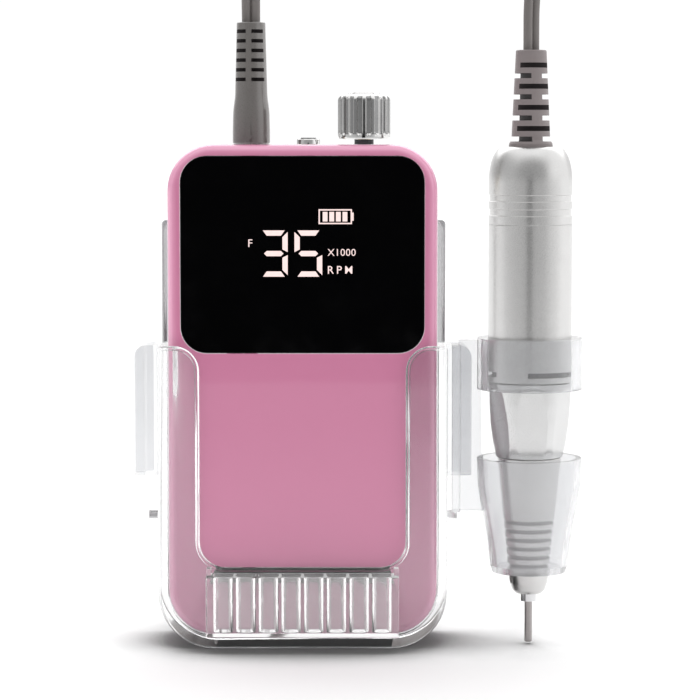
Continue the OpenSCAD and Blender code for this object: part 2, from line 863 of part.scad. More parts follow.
module motor_rotor() {
    color("darkgray") at_handpiece() difference() {
        post(7.8, 98, 115);
        post(motor_shaft_r + 0.02, 97, 116);
        for (a = [0, 120, 240]) rotate([0, 0, a]) block([4, -0.7, 97], [9, 0.7, 116]);
    }
}

module commutator() {
    color("chocolate") at_handpiece() pipe(3, motor_shaft_r + 0.02, 116.5, 122);
}

module motor_shaft() {
    color("silver") at_handpiece() post(motor_shaft_r, 84, 124);
}

module shaft_coupling() {
    color("dimgray") at_handpiece() difference() {
        post(4, 78, 90);
        post(motor_shaft_r + 0.02, 84, 91);
        post(3.02, 77, 83);
    }
}

module spindle() {
    color("silver") at_handpiece() difference() {
        union() {
            post(3, 17, 83 - touch);
            post(4.4, 56, 58);
        }
        post(2.4, 16, 46);
    }
}

module collet() {
    color("silver") at_handpiece() difference() {
        post(2.35, 13.5, 45.8);
        post(1.2, 12, 44);
        for (a = [0, 120, 240]) rotate([0, 0, a]) block([0, -0.2, 13], [3, 0.2, 19]);
    }
}

module collet_spring() {
    turns = 5;
    steps = 10;
    r = 4;
    color("silver") at_handpiece()
        tube([
            for (i = [0 : turns * steps])
                [r * cos(360 * i / steps), r * sin(360 * i / steps), 58.5 + 18.5 * i / (turns * steps)]
        ], 0.8, [0, 0, 1]);
}

module bit_pin() {
    // The free end is a true cylinder; the end in the collet tapers by a hair for an easy start
    free_top = 13.2;
    top = 34;
    color("silver") at_handpiece() rotate_extrude() polygon([
        [0, bit_z], [shank_d / 2, bit_z], [shank_d / 2, free_top], [shank_d / 2 - 0.02, top], [0, top]
    ]);
}

cradle_shell();
bit_rack();
handpiece_holder();
front_cover();
rear_cover();
case_screws();
display_window();
display_module();
display_board();
display_screws();
main_board();
board_components();
board_screws();
control_board();
battery_holder();
battery_cell_1();
battery_cell_2();
battery_cell_3();
battery_contacts();
battery_leads();
charge_port();
handpiece_jack();
jack_leads();
speed_pot();
button_bezel();
button_switch();
speed_knob();
pot_shaft();
pot_wiper();
button_cap();
switch_plunger();
plug_body();
plug_contact();
cord_drop();
cord_coil();
cord_arch();
cord_relief();
rear_cap();
motor_leads();
motor_housing();
motor_can();
motor_magnets();
brush_holder();
carbon_brushes();
nose_cone();
front_bearing();
rear_bearing();
lock_sleeve();
lock_cam();
motor_rotor();
commutator();
motor_shaft();
shaft_coupling();
spindle();
collet();
collet_spring();
bit_pin();
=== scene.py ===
"""Looks for a portable electric nail drill: a pink control box in a clear cradle with a bit rack, a
handpiece held by a clear bracket at its side, and a flat twin cord."""

import json
from math import atan2, cos, dist, hypot, pi, radians, sin, tan

import bmesh
import bpy
from mathutils import Matrix, Vector

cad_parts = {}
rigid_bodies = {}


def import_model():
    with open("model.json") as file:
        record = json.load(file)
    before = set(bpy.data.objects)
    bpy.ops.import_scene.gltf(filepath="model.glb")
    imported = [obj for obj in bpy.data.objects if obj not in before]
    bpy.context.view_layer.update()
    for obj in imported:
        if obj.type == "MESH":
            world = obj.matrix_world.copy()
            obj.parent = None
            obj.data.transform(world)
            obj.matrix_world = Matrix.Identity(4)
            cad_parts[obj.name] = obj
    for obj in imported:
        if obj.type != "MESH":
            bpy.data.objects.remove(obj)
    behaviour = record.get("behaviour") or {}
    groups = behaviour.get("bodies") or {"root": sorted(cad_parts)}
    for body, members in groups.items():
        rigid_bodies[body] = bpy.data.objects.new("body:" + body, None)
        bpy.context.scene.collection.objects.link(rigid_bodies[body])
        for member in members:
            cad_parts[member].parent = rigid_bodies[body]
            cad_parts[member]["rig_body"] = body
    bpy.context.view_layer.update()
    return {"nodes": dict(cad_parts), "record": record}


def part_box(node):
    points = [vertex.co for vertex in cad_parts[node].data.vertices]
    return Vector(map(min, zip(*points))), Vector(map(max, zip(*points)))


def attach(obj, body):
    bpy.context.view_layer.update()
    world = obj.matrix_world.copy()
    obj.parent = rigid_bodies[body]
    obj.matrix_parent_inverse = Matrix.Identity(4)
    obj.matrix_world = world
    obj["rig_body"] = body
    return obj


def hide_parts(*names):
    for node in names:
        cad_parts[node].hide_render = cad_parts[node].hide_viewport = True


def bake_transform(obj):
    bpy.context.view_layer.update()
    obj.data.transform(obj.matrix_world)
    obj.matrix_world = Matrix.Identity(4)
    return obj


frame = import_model()
MM = 0.001
SCENE = bpy.context.scene


def box_mm(node):
    """Lowest and highest corner of a CAD node, in millimetres."""
    low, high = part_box(node)
    return low / MM, high / MM


def middle(node):
    """Middle of a CAD node in X and Y, in millimetres."""
    low, high = box_mm(node)
    return Vector(((low.x + high.x) / 2, (low.y + high.y) / 2))


def placed(name, data):
    """New object in the scene, of a mesh, curve or camera."""
    obj = bpy.data.objects.new(name, data)
    SCENE.collection.objects.link(obj)
    return obj


# ---- Camera ----

EYE = Vector((14.4, -830, 158))
AIM = Vector((14.4, 0, 90.27))
SENSOR = 36
LENS = 138.96


def make_camera():
    data = bpy.data.cameras.new("camera")
    data.sensor_width = SENSOR
    data.lens = LENS
    data.clip_start = 0.05
    data.clip_end = 20
    camera = placed("camera", data)
    camera.location = EYE * MM
    camera.rotation_mode = "QUATERNION"
    camera.rotation_quaternion = (AIM - EYE).to_track_quat("-Z", "Y")
    SCENE.camera = camera


make_camera()


# ---- Mesh building ----


def angles(end, steps):
    """Angles from 0 to end, in even steps."""
    return [end * k / steps for k in range(steps + 1)]


def around(centre, radius, angle):
    """Point of a circle."""
    return centre[0] + radius * cos(angle), centre[1] + radius * sin(angle)


def rotated(v, angle):
    """2-D vector turned anticlockwise."""
    c, s = cos(angle), sin(angle)
    return Vector((v.x * c - v.y * s, v.x * s + v.y * c))


def fillet(points, closed=False, steps=6):
    """Outline with its corners rounded. Each point is (a, b), or (a, b, radius) where it is rounded."""
    out = []
    count = len(points)
    for i, point in enumerate(points):
        here = Vector(point[:2])
        radius = point[2] if len(point) > 2 else 0
        if radius == 0 or (not closed and i in (0, count - 1)):
            out.append(here)
            continue
        before = Vector(points[i - 1][:2]) - here
        after = Vector(points[(i + 1) % count][:2]) - here
        u, v = before.normalized(), after.normalized()
        half = u.angle(v) / 2
        reach = min(radius / tan(half), 0.499 * before.length, 0.499 * after.length)
        radius = reach * tan(half)
        centre = here + (u + v).normalized() * radius / sin(half)
        spoke = here + u * reach - centre
        end = here + v * reach - centre
        turn = atan2(spoke.x * end.y - spoke.y * end.x, spoke.dot(end))
        out += [centre + rotated(spoke, angle) for angle in angles(turn, steps)]
    return out


def smooth(obj, degrees=35):
    """Smooth shading, with sharp edges where two faces meet at more than the angle."""
    mesh = obj.data
    mesh.polygons.foreach_set("use_smooth", [True] * len(mesh.polygons))
    mesh.set_sharp_from_angle(angle=radians(degrees))


def even_normals(obj):
    """Keeps broad faces flat in shading beside their rounded edges."""
    obj.modifiers.new("normals", "WEIGHTED_NORMAL").keep_sharp = True
    return obj


def mesh_piece(name, verts, faces, material=None, degrees=35):
    """Closed mesh from points in millimetres. A tool for combine() may go without a material."""
    mesh = bpy.data.meshes.new(name)
    mesh.from_pydata([Vector(v) * MM for v in verts], [], faces)
    work = bmesh.new()
    work.from_mesh(mesh)
    bmesh.ops.remove_doubles(work, verts=work.verts, dist=1e-7)
    bmesh.ops.recalc_face_normals(work, faces=work.faces)
    work.to_mesh(mesh)
    work.free()
    obj = placed(name, mesh)
    if material:
        mesh.materials.append(material)
    smooth(obj, degrees)
    return obj


def loft(name, rings, material=None, degrees=35):
    """Skin over rings that all have the same number of points, with flat ends."""
    count = len(rings[0])
    verts = [p for ring in rings for p in ring]
    faces = []
    for a in range(0, len(verts) - count, count):
        for k in range(count):
            n = (k + 1) % count
            faces.append((a + k, a + n, a + count + n, a + count + k))
    faces += [range(count), range(len(verts) - count, len(verts))]
    return mesh_piece(name, verts, faces, material, degrees)


def levels(profile, pitch, beyond):
    """Profile whose upright stretches beyond a radius are cut up by pitch, without its last point."""
    out = []
    for a, b in zip(profile, profile[1:]):
        cuts = int(abs(b.y - a.y) / pitch) if min(a.x, b.x) > beyond else 0
        out += [a.lerp(b, k / (cuts + 1)) for k in range(cuts + 1)]
    return out


def lathe(name, profile, centre, material=None, steps=96, degrees=35, radius_at=None):
    """Solid turned round an upright axis. profile is (radius, height) points, from the axis back to the
    axis, or else round a closed section. radius_at(radius, height, angle) shapes flutes and flats."""
    apart = [p for p, before in zip(profile[1:], profile) if dist(p, before) > 0.005]
    profile = [profile[0]] + apart
    verts, rings = [], []
    for radius, height in profile:
        start = len(verts)
        if radius < 1e-6:
            verts.append((centre[0], centre[1], height))
            rings.append([start])
            continue
        for angle in angles(2 * pi, steps)[:-1]:
            r = radius_at(radius, height, angle) if radius_at else radius
            verts.append((*around(centre, r, angle), height))
        rings.append(list(range(start, start + steps)))
    if profile[0][0] > 1e-6:
        rings.append(rings[0])
    faces = []
    for low, high in zip(rings, rings[1:]):
        for k in range(steps):
            n = (k + 1) % steps
            corners = [low[k % len(low)], low[n % len(low)], high[n % len(high)], high[k % len(high)]]
            face = list(dict.fromkeys(corners))
            if len(face) > 2:
                faces.append(face)
    return mesh_piece(name, verts, faces, material, degrees)


def outline(half_w, z0, z1, low_r, high_r):
    """Upright outline centred on X with round lower and upper corners, as (x, z) points."""
    corners = [(-half_w, z0, low_r), (half_w, z0, low_r), (half_w, z1, high_r), (-half_w, z1, high_r)]
    return fillet(corners, closed=True, steps=10)


def soft_slab(name, half_w, z0, z1, low_r, high_r, y_front, y_back, front_edge, back_edge,
              material=None):
    """Upright slab, centred on X, whose front and back edges are rounded by the two radii."""
    quarter = angles(pi / 2, 6)
    layers = [(y_front + front_edge * (1 - sin(a)), front_edge * (1 - cos(a)))
              for a in reversed(quarter)]
    layers += [(y_back - back_edge * (1 - sin(a)), back_edge * (1 - cos(a))) for a in quarter]
    rings = []
    for y, inset in layers:
        ring = outline(half_w - inset, z0 + inset, z1 - inset,
                       max(low_r - inset, 0.05), max(high_r - inset, 0.05))
        rings.append([(p.x, y, p.y) for p in ring])
    return loft(name, rings, material)


def block(name, low, high, material=None, edge=0.0):
    """Block between two corners, with its upright edges rounded."""
    corners = [(low[0], low[1], edge), (high[0], low[1], edge), (high[0], high[1], edge),
               (low[0], high[1], edge)]
    ring = fillet(corners, closed=True, steps=4)
    return loft(name, [[(p.x, p.y, z) for p in ring] for z in (low[2], high[2])], material)


def prism_y(name, points, y0, y1, material=None):
    """Outline of (x, z) points pushed along Y."""
    return loft(name, [[(x, y, z) for x, z in points] for y in (y0, y1)], material)


def turned(obj, matrix):
    """Bakes a transform given in millimetres into the mesh."""
    scale = Matrix.Scale(MM, 4)
    obj.data.transform(scale @ matrix @ scale.inverted())
    return obj


def rod_z(name, radius, place, z0, z1, steps=48):
    """Round rod along Z, at a place in X and Y."""
    return lathe(name, [(0, z0), (radius, z0), (radius, z1), (0, z1)], place, steps=steps)


def rod_x(name, radius, x0, x1, y, z):
    """Round rod along X."""
    rod = rod_z(name, radius, (0, 0), x0, x1)
    return turned(rod, Matrix.Translation((0, y, z)) @ Matrix.Rotation(pi / 2, 4, "Y"))


def rod_y(name, radius, x, z, y0, y1):
    """Round rod along Y."""
    rod = rod_z(name, radius, (0, 0), -y1, -y0)
    return turned(rod, Matrix.Translation((x, 0, z)) @ Matrix.Rotation(pi / 2, 4, "X"))


def shown_mesh(obj):
    """New mesh of an object as its modifiers or its text make it."""
    graph = bpy.context.evaluated_depsgraph_get()
    return bpy.data.meshes.new_from_object(obj.evaluated_get(graph))


def bake(obj):
    """Turns an object's modifiers into its mesh."""
    mesh = shown_mesh(obj)
    old = obj.data
    obj.modifiers.clear()
    obj.data = mesh
    bpy.data.meshes.remove(old)
    return obj


def clean(obj, distance=0.006):
    """Merges the near-double corners, and drops the loose edges, that a cut or a rounding leaves behind."""
    work = bmesh.new()
    work.from_mesh(obj.data)
    bmesh.ops.remove_doubles(work, verts=work.verts, dist=distance * MM)
    bmesh.ops.dissolve_degenerate(work, edges=work.edges, dist=distance * MM)
    loose = [edge for edge in work.edges if not edge.link_faces]
    bmesh.ops.delete(work, geom=loose, context="EDGES")
    work.to_mesh(obj.data)
    work.free()
    return obj


def joined(tools):
    """One mesh from several that don't touch each other."""
    first = tools[0]
    work = bmesh.new()
    for tool in tools:
        work.from_mesh(tool.data)
    work.to_mesh(first.data)
    work.free()
    for tool in tools[1:]:
        bpy.data.objects.remove(tool)
    return first


def combine(obj, tools, operation="DIFFERENCE"):
    """Cuts the tools out of obj, or adds them to it. The tools don't touch each other, and without a
    material of their own they take obj's."""
    tool = joined(tools)
    if not tool.data.materials:
        tool.data.materials.append(obj.data.materials[0])
    modifier = obj.modifiers.new("combine", "BOOLEAN")
    modifier.object = tool
    modifier.operation = operation
    modifier.solver = "EXACT"
    modifier.material_mode = "TRANSFER"
    clean(bake(obj))
    bpy.data.objects.remove(tool)
    return obj


def soften(obj, width, segments=3, degrees=35):
    """Rounds every sharp edge by width."""
    smooth(obj, degrees)
    bevel = obj.modifiers.new("edges", "BEVEL")
    bevel.width = width * MM
    bevel.segments = segments
    bevel.limit_method = "ANGLE"
    bevel.angle_limit = radians(degrees)
    return even_normals(clean(bake(obj), 0.0003))


# ---- Materials ----


def linear(r, g, b):
    """Linear colour of an sRGB colour given from 0 to 255."""
    return tuple(((c / 255 + 0.055) / 1.055) ** 2.4 if c > 10 else c / 255 / 12.92 for c in (r, g, b))


def feed(tree, socket, value):
    """Links an input to another node's output, or sets it."""
    if isinstance(value, bpy.types.NodeSocket):
        tree.links.new(value, socket)
    else:
        socket.default_value = value


def add_node(tree, kind, inputs, **settings):
    """New shader node; its outputs."""
    new = tree.nodes.new("ShaderNode" + kind)
    for key, value in settings.items():
        setattr(new, key, value)
    for key, value in inputs.items():
        feed(tree, new.inputs[key], value)
    return new.outputs


class Finish:
    """A material of one Principled shader, whose colour, roughness and bump vary in object space."""

    def __init__(self, name, colour, roughness, **values):
        self.material = bpy.data.materials.new(name)
        self.material.use_nodes = True
        self.tree = self.material.node_tree
        self.shader = self.tree.nodes["Principled BSDF"]
        self.place = add_node(self.tree, "TexCoord", {})["Object"]
        self.colour = colour
        self.set("Base Color", (*colour, 1))
        self.set("Roughness", roughness)
        for key, value in values.items():
            self.set(key.replace("_", " ").title().replace("Ior", "IOR"), value)
        self.height = None

    def set(self, name, value):
        feed(self.tree, self.shader.inputs[name], value)

    def node(self, kind, inputs, **settings):
        return add_node(self.tree, kind, inputs, **settings)[0]

    def noise(self, size, detail=3.0, place=None):
        """Noise whose features are about size millimetres across, from 0 to 1."""
        return self.node("TexNoise", {
            "Vector": place or self.place, "Scale": 1 / (size * MM), "Detail": detail, "Roughness": 0.55})

    def span(self, value, low, high, start=0.3, end=0.7):
        return self.node("MapRange", {
            "Value": value, "From Min": start, "From Max": end, "To Min": low, "To Max": high})

    def mix_colours(self, value, first, second):
        """Base colour that goes from the first colour to the second as value goes from 0 to 1."""
        first_in, second_in, colour_out = 6, 7, 2
        mixed = add_node(self.tree, "Mix", {"Factor": value, first_in: (*first, 1), second_in: (*second, 1)},
                         data_type="RGBA")
        self.set("Base Color", mixed[colour_out])

    def tint(self, value, dark, light):
        """Colour varied round the base colour, from dark to light times it."""
        self.mix_colours(value, *([min(1, c * share) for c in self.colour] for share in (dark, light)))

    def rough(self, value, low, high):
        self.set("Roughness", self.span(value, low, high))

    def bump(self, value, depth, strength=1.0):
        """Relief of depth millimetres. A second call adds to the first."""
        inputs = {"Height": value, "Strength": strength, "Distance": depth * MM}
        if self.height:
            inputs["Normal"] = self.height
        self.height = self.node("Bump", inputs)
        self.set("Normal", self.height)

    def moulded_skin(self, roughness, grain, relief):
        """The fine even grain of moulded plastic."""
        self.rough(self.noise(grain, 2), max(roughness - 0.05, 0.02), roughness + 0.06)
        self.bump(self.noise(grain), relief)
        return self.material


def moulded(name, colour, roughness, grain=0.35, relief=0.01, **values):
    """Moulded plastic with faint flow marks."""
    f = Finish(name, colour, roughness, **values)
    f.tint(f.noise(9, 2), 0.97, 1.03)
    return f.moulded_skin(roughness, grain, relief)


def painted_edge_highlight(name, colour, edge_highlight_colour, roughness, grain, relief, **values):
    """Moulded plastic with a painted highlight, paler where its surface turns away from the three main
    directions.
    """
    f = Finish(name, colour, roughness, **values)
    normal = add_node(f.tree, "TexCoord", {})["Normal"]
    parts = add_node(f.tree, "SeparateXYZ", {0: f.node("VectorMath", {0: normal}, operation="ABSOLUTE")})
    flattest = f.node("Math", {0: parts[0], 1: parts[1]}, operation="MAXIMUM")
    flattest = f.node("Math", {0: flattest, 1: parts[2]}, operation="MAXIMUM")
    f.mix_colours(f.span(flattest, 0, 1, 0.998, 0.82), colour, edge_highlight_colour)
    return f.moulded_skin(roughness, grain, relief)


def clear(name, tint, roughness=0.03, ior=1.5, haze=0.03, airy=True):
    """Clear moulded polycarbonate with faint flow waves and fine scuffs. If airy, it casts hardly any
    shadow."""
    f = Finish("clear_polycarbonate" + name, tint, roughness, transmission_weight=1 - haze, ior=ior)
    f.tint(f.noise(14, 2), 0.985, 1.0)
    f.rough(f.noise(2.5, 5), roughness, roughness + 0.05)
    f.bump(f.noise(6, 1), 0.02, 0.5)
    if airy:
        let_light_through(f, 0.985)
    return f.material


def let_light_through(f, share):
    """Lets the sky's light pass straight through clear plastic onto what is behind it."""
    kind = add_node(f.tree, "LightPath", {})["Is Shadow Ray"]
    straight = f.node("BsdfTransparent", {"Color": (share, share, share, 1)})
    mixed = f.node("MixShader", {0: kind, 1: f.shader.outputs[0], 2: straight})
    f.tree.links.new(mixed, f.tree.nodes["Material Output"].inputs["Surface"])


def metal(name, colour, roughness, lines=0.0, grain=0.12, relief=0.004):
    """Metal with a blasted grain, and with turning lines of some width round an upright axis, if any."""
    f = Finish(name, colour, roughness, metallic=1.0)
    f.tint(f.noise(5, 3), 0.96, 1.04)
    fine = f.noise(grain, 2)
    f.rough(fine, roughness * 0.85, roughness * 1.2)
    f.bump(fine, relief)
    if lines:
        turning = f.node("Mapping", {"Vector": f.place, "Scale": (0.02, 0.02, 1)})
        f.bump(f.noise(lines, 2, turning), relief * 1.5)
    return f.material


def circuit_board():
    """Green mask over darker tracks."""
    f = Finish("circuit_board_green", linear(24, 92, 52), 0.35)
    tracks = f.node("TexBrick", {"Vector": f.place, "Scale": 260.0, "Mortar Size": 0.03})
    shade = f.node("SeparateColor", {"Color": tracks})
    f.tint(shade, 0.7, 1.25)
    f.bump(shade, 0.03)
    f.rough(f.noise(0.5), 0.28, 0.42)
    return f.material


def cord_sheath():
    """Soft satin plastic, a little rubbed."""
    f = Finish("twin_cord_sheath", linear(122, 117, 115), 0.42)
    f.tint(f.noise(7, 3), 0.93, 1.07)
    f.rough(f.noise(1.2, 3), 0.36, 0.5)
    f.bump(f.noise(0.4, 3), 0.015)
    return f.material


def lit_readout():
    """Light that is a little uneven from spot to spot."""
    f = Finish("readout_light", (0.1, 0.09, 0.09), 0.4)
    f.set("Emission Color", (*linear(255, 228, 224), 1))
    f.set("Emission Strength", f.span(f.noise(1.6, 2), 0.96, 1.03))
    return f.material


# Pink plastic with a painted highlight along its rounded edges and corners.
PINK = painted_edge_highlight("pink_gloss", linear(220, 136, 172), linear(250, 172, 206), 0.2, grain=0.9, relief=0.004,
                coat_weight=0.8, coat_ior=1.6)
BLACK_WINDOW = moulded("black_window_gloss", (0.0015, 0.0015, 0.0018), 0.05, grain=9.0, relief=0.0002,
                       specular_ior_level=0.25)
READOUT = lit_readout()
CLEAR = clear("", (0.965, 0.967, 0.975))
THICK_CLEAR = clear("_thick", (0.86, 0.864, 0.875))
HOLDER_CLEAR = clear("_holder", (0.88, 0.884, 0.895), 0.04, haze=0.12)
EDGE_CLEAR = clear("_edge", (0.42, 0.43, 0.435), haze=0.3)
RACK_CLEAR = clear("_rack", (0.99, 0.98, 0.985), 0.05, ior=1.3, haze=0.08)
WALL_CLEAR = clear("_wall", (0.9, 0.905, 0.91), 0.1, haze=0.2)
# Darker clear plastic for the cradle's floor under the box: its tint is painted shade; it also casts a real
# shadow.
BASE_SHADE_CLEAR = clear("_base_shade", (0.8, 0.81, 0.82), haze=0.3, airy=False)
ALUMINIUM = metal("satin_aluminium_blasted", (0.67, 0.665, 0.66), 0.28, grain=0.1)
TURNED = metal("turned_aluminium", (0.64, 0.635, 0.63), 0.2, lines=0.18)
POLISHED = metal("satin_edge_aluminium", (0.68, 0.68, 0.68), 0.27)
# Darker turned metal: painted shade in the nose cone's grooves.
GROOVE_SHADE = metal("turned_groove_shade", (0.3, 0.3, 0.3), 0.25, lines=0.18)
CHROME = metal("chrome_plate", (0.78, 0.775, 0.77), 0.1, grain=0.6, relief=0.001)
STEEL_BIT = metal("ground_bit_steel", (0.38, 0.355, 0.35), 0.3, lines=0.15)
GREY_PVC = moulded("grey_pvc_satin", linear(104, 100, 97), 0.3, grain=0.25, relief=0.01, coat_weight=1.0,
                   coat_ior=1.7)
RELIEF_PVC = moulded("relief_pvc_satin", linear(140, 131, 131), 0.4, grain=0.25, relief=0.02)
SLOT_DARK = moulded("slot_shade", linear(46, 38, 40), 0.6, grain=0.3, relief=0.01)
# Darker chrome: painted shade on the knob's flute floors and ridge tops; the button cap is all of it too.
DARK_CHROME = metal("dark_chrome", (0.34, 0.34, 0.34), 0.16, grain=0.6, relief=0.001)
# Dark faces of the barrel's lock slots: painted shade.
TRACK_SHADE = moulded("lock_slot_shade", linear(38, 38, 40), 0.4, grain=0.3, relief=0.01)
CORD = cord_sheath()

FINISHES = {
    "clear_plastic": CLEAR,
    "pink_plastic": PINK,
    "window": BLACK_WINDOW,
    "light_block": moulded("white_light_block", linear(232, 232, 228), 0.5),
    "circuit_board": circuit_board(),
    "black_plastic": moulded("black_moulded_plastic", linear(34, 34, 36), 0.5, relief=0.02),
    "screw_steel": metal("zinc_screw_steel", (0.62, 0.62, 0.6), 0.25, grain=0.4),
    "battery_sleeve": moulded("battery_sleeve_film", linear(52, 104, 150), 0.28, grain=2.5, relief=0.03),
    "nickel": metal("nickel_strip", (0.66, 0.63, 0.57), 0.28, grain=0.5),
    "wire_red": moulded("red_wire_pvc", linear(178, 32, 30), 0.4),
    "pot_body": moulded("potentiometer_body", linear(58, 60, 64), 0.42),
    "chrome_trim": CHROME,
    "white_plastic": moulded("white_nylon", linear(225, 222, 214), 0.5),
    "brass_part": metal("turned_brass", (0.72, 0.53, 0.25), 0.24, lines=0.2),
    "grey_pvc": GREY_PVC,
    "cord_sheath": CORD,
    "satin_aluminium": ALUMINIUM,
    "motor_steel": metal("motor_can_steel", (0.55, 0.55, 0.56), 0.35, grain=0.5),
    "magnet": moulded("ferrite_magnet", linear(52, 50, 50), 0.6, grain=0.2, relief=0.03),
    "carbon": moulded("pressed_carbon", linear(30, 29, 30), 0.55, grain=0.15, relief=0.03),
    "bearing_steel": metal("bearing_steel_ground", (0.68, 0.68, 0.69), 0.16, lines=0.2),
    "bit_steel": STEEL_BIT,
}


def repaint(obj, material, test, axis=(0, 0)):
    """Gives another material to the faces in the piece's main one that pass the test. It gets how far a
    face is to the side, how far out and how high, in millimetres from an upright axis."""
    obj.data.materials.append(material)
    for face in obj.data.polygons:
        x, y, z = (c / MM for c in face.center)
        side = x - axis[0]
        if face.material_index == 0 and test(side, hypot(side, y - axis[1]), z):
            face.material_index = len(obj.data.materials) - 1


def dress_cad_nodes():
    """Gives every CAD node the finish of its record slot."""
    for obj in frame["nodes"].values():
        for place in obj.material_slots:
            place.material = FINISHES[place.material.name.split(".")[0]]


dress_cad_nodes()


def settle(obj, body, slot_name, *nodes):
    """Puts a finished piece on its body, in place of its CAD nodes."""
    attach(obj, body)
    if nodes:
        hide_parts(*nodes)
    return obj


# ---- Cords ----
# Both routes repeat the points of the model's own cords, in millimetres.

COIL_MIDDLE = Vector((0, 64))
COIL_RADIUS = 32
COIL_TURNS = 2.75
CORD_WIDTH = 5.6
CORD_THICK = 2.8
PLUG_X = middle("plug_body").x
PLUG_TOP = box_mm("plug_body")[1].z
RELIEF_TOP = box_mm("cord_relief")[1].z
HAND = middle("motor_housing")

ARCH_ROUTE = [
    (HAND.x, HAND.y, RELIEF_TOP), (HAND.x, HAND.y, 192), (HAND.x, HAND.y, 202), (67, -4, 217),
    (59, 5, 232), (44, 16, 243), (23, 25, 247), (2, 29, 241), (-12, 30, 225), (-17, 30, 205),
    (-17, 30, 180), (-17, 30, 150), (-18, 30, 120), (-22, 30, 95), (-27, 29, 70), (-31, 28, 45),
    (-32, 29, 26), (-32, 34, 11), (-32, 46, 3), (-32, 64, 2),
]
DROP_ROUTE = [
    (0, 32, 9), (-7, 31, 11), (-13, 28, 19), (-16, 26, 33), (-17, 24, 55), (-17, 24, 90),
    (-17, 24, 125), (-17, 24, 160), (-17, 24, 192), (-17, 22, 206), (-16, 16, 214), (-16, 8, 214),
    (PLUG_X, 2, 208), (PLUG_X, 0, 200), (PLUG_X, 0, 195), (PLUG_X, 0, PLUG_TOP),
]


def smooth_route(points, cuts=6):
    """Catmull-Rom curve through the points, with each stretch cut up."""
    p = [Vector(q) for q in points]
    out = []
    for i in range(len(p) - 1):
        a, b, c, d = p[max(i - 1, 0)], p[i], p[i + 1], p[min(i + 2, len(p) - 1)]
        for k in range(cuts):
            t = k / cuts
            out.append(0.5 * (2 * b + (c - a) * t + (2 * a - 5 * b + 4 * c - d) * t ** 2
                              + (3 * b - a - 3 * c + d) * t ** 3))
    return out + [p[-1]]


def ease(t):
    """Smooth step from 0 to 1."""
    t = min(max(t, 0), 1)
    return t * t * (3 - 2 * t)


def coil_points(first_z, last_z):
    """Turns wound clockwise from the left side: flat layers, with a climb in each turn's last quarter."""
    per_turn = 48
    layer = CORD_THICK + 0.1
    lift = 0.18
    points = []
    for i in range(1, round(COIL_TURNS * per_turn) + 1):
        turn = i / per_turn
        angle = pi - 2 * pi * turn
        z = CORD_THICK / 2 + layer * (int(turn) + ease((turn % 1 - 0.75) * 4))
        z += (first_z - CORD_THICK / 2) * (1 - ease(turn * 8))
        rest = last_z - (CORD_THICK / 2 + layer * int(COIL_TURNS))
        z += rest * ease((turn - COIL_TURNS + lift) / lift)
        points.append(Vector((*around(COIL_MIDDLE, COIL_RADIUS, angle), z)))
    return points


def headings(points):
    last = len(points) - 1
    return [(points[min(i + 1, last)] - points[max(i - 1, 0)]).normalized() for i in range(last + 1)]


def flat_directions(points, first, last):
    """The way the cord's width points along its route, turning smoothly from first to last."""
    ways = headings(points)
    width = (Vector(first) - ways[0] * ways[0].dot(Vector(first))).normalized()
    carried = [width]
    for a, b in zip(ways, ways[1:]):
        width = a.rotation_difference(b) @ width
        carried.append(width.normalized())
    wanted = (Vector(last) - ways[-1] * ways[-1].dot(Vector(last))).normalized()
    if wanted.dot(carried[-1]) < 0:
        wanted = -wanted
    twist = atan2(ways[-1].dot(carried[-1].cross(wanted)), carried[-1].dot(wanted))
    count = len(points) - 1
    return [Matrix.Rotation(twist * ease(i / count), 3, ways[i]) @ w for i, w in enumerate(carried)]


def twin_section():
    """Two round cores joined by a thin web, as (width, thickness) points."""
    radius = CORD_THICK / 2
    apart = CORD_WIDTH / 2 - radius
    reach = radians(166)
    steps = 14
    right = [Vector(around((apart, 0), radius, reach * (2 * k / steps - 1))) for k in range(steps + 1)]
    return right + [Vector((-p.x, -p.y)) for p in right]


def cord_tube(name, points, widths):
    """Twin cord swept along the points."""
    section = twin_section()
    rings = []
    for point, way, width in zip(points, headings(points), widths):
        thick = way.cross(width).normalized()
        rings.append([tuple(point + width * p.x + thick * p.y) for p in section])
    return loft(name, rings, CORD, degrees=60)


def make_cords():
    """One cord from the handpiece to the coil's end, and one from there up to the plug."""
    arch = smooth_route(ARCH_ROUTE)
    coil = coil_points(ARCH_ROUTE[-1][2], DROP_ROUTE[0][2])
    arch_widths = flat_directions(arch, (0.77, 0.64, 0), (1, 0, 0))
    inward = [Vector((COIL_MIDDLE.x - p.x, COIL_MIDDLE.y - p.y, 0)).normalized() for p in coil]
    sign = 1 if arch_widths[-1].x > 0 else -1
    long_path = arch + coil
    long_cord = cord_tube("handpiece_cord", long_path, arch_widths + [w * sign for w in inward])
    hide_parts("cord_arch", "cord_coil")
    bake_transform(long_cord)

    drop = smooth_route(DROP_ROUTE)
    short_cord = cord_tube("plug_cord", drop, flat_directions(drop, (0, 1, 0), (1, 0, 0)))
    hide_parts("cord_drop")
    return short_cord, drop


plug_cord, plug_cord_path = make_cords()


# ---- Control box ----

BOX_LOW, BOX_HIGH = box_mm("front_cover")
BACK = box_mm("rear_cover")[1].y
SEAM = BOX_HIGH.y
HALF_W = BOX_HIGH.x
WALL = 2
BOX_CORNER = 14
BOX_EDGE = 3
WINDOW_LOW, WINDOW_HIGH = box_mm("display_window")
WINDOW_CORNER = 8
KNOB = middle("speed_knob")
BUTTON = middle("button_cap")
PORT = box_mm("charge_port")


def box_half(name, outer, inner):
    """Half of the box, open at the seam. outer and inner are the depths of a slab's front and back, and
    the radii of its front and back edges."""
    solid, hollow = [soft_slab(part, HALF_W - inset, BOX_LOW.z + inset, BOX_HIGH.z - inset,
                               BOX_CORNER - inset, BOX_CORNER - inset, *depths_and_edges, PINK)
                     for part, inset, depths_and_edges in ((name, 0, outer), ("inside", WALL, inner))]
    return combine(solid, [hollow])


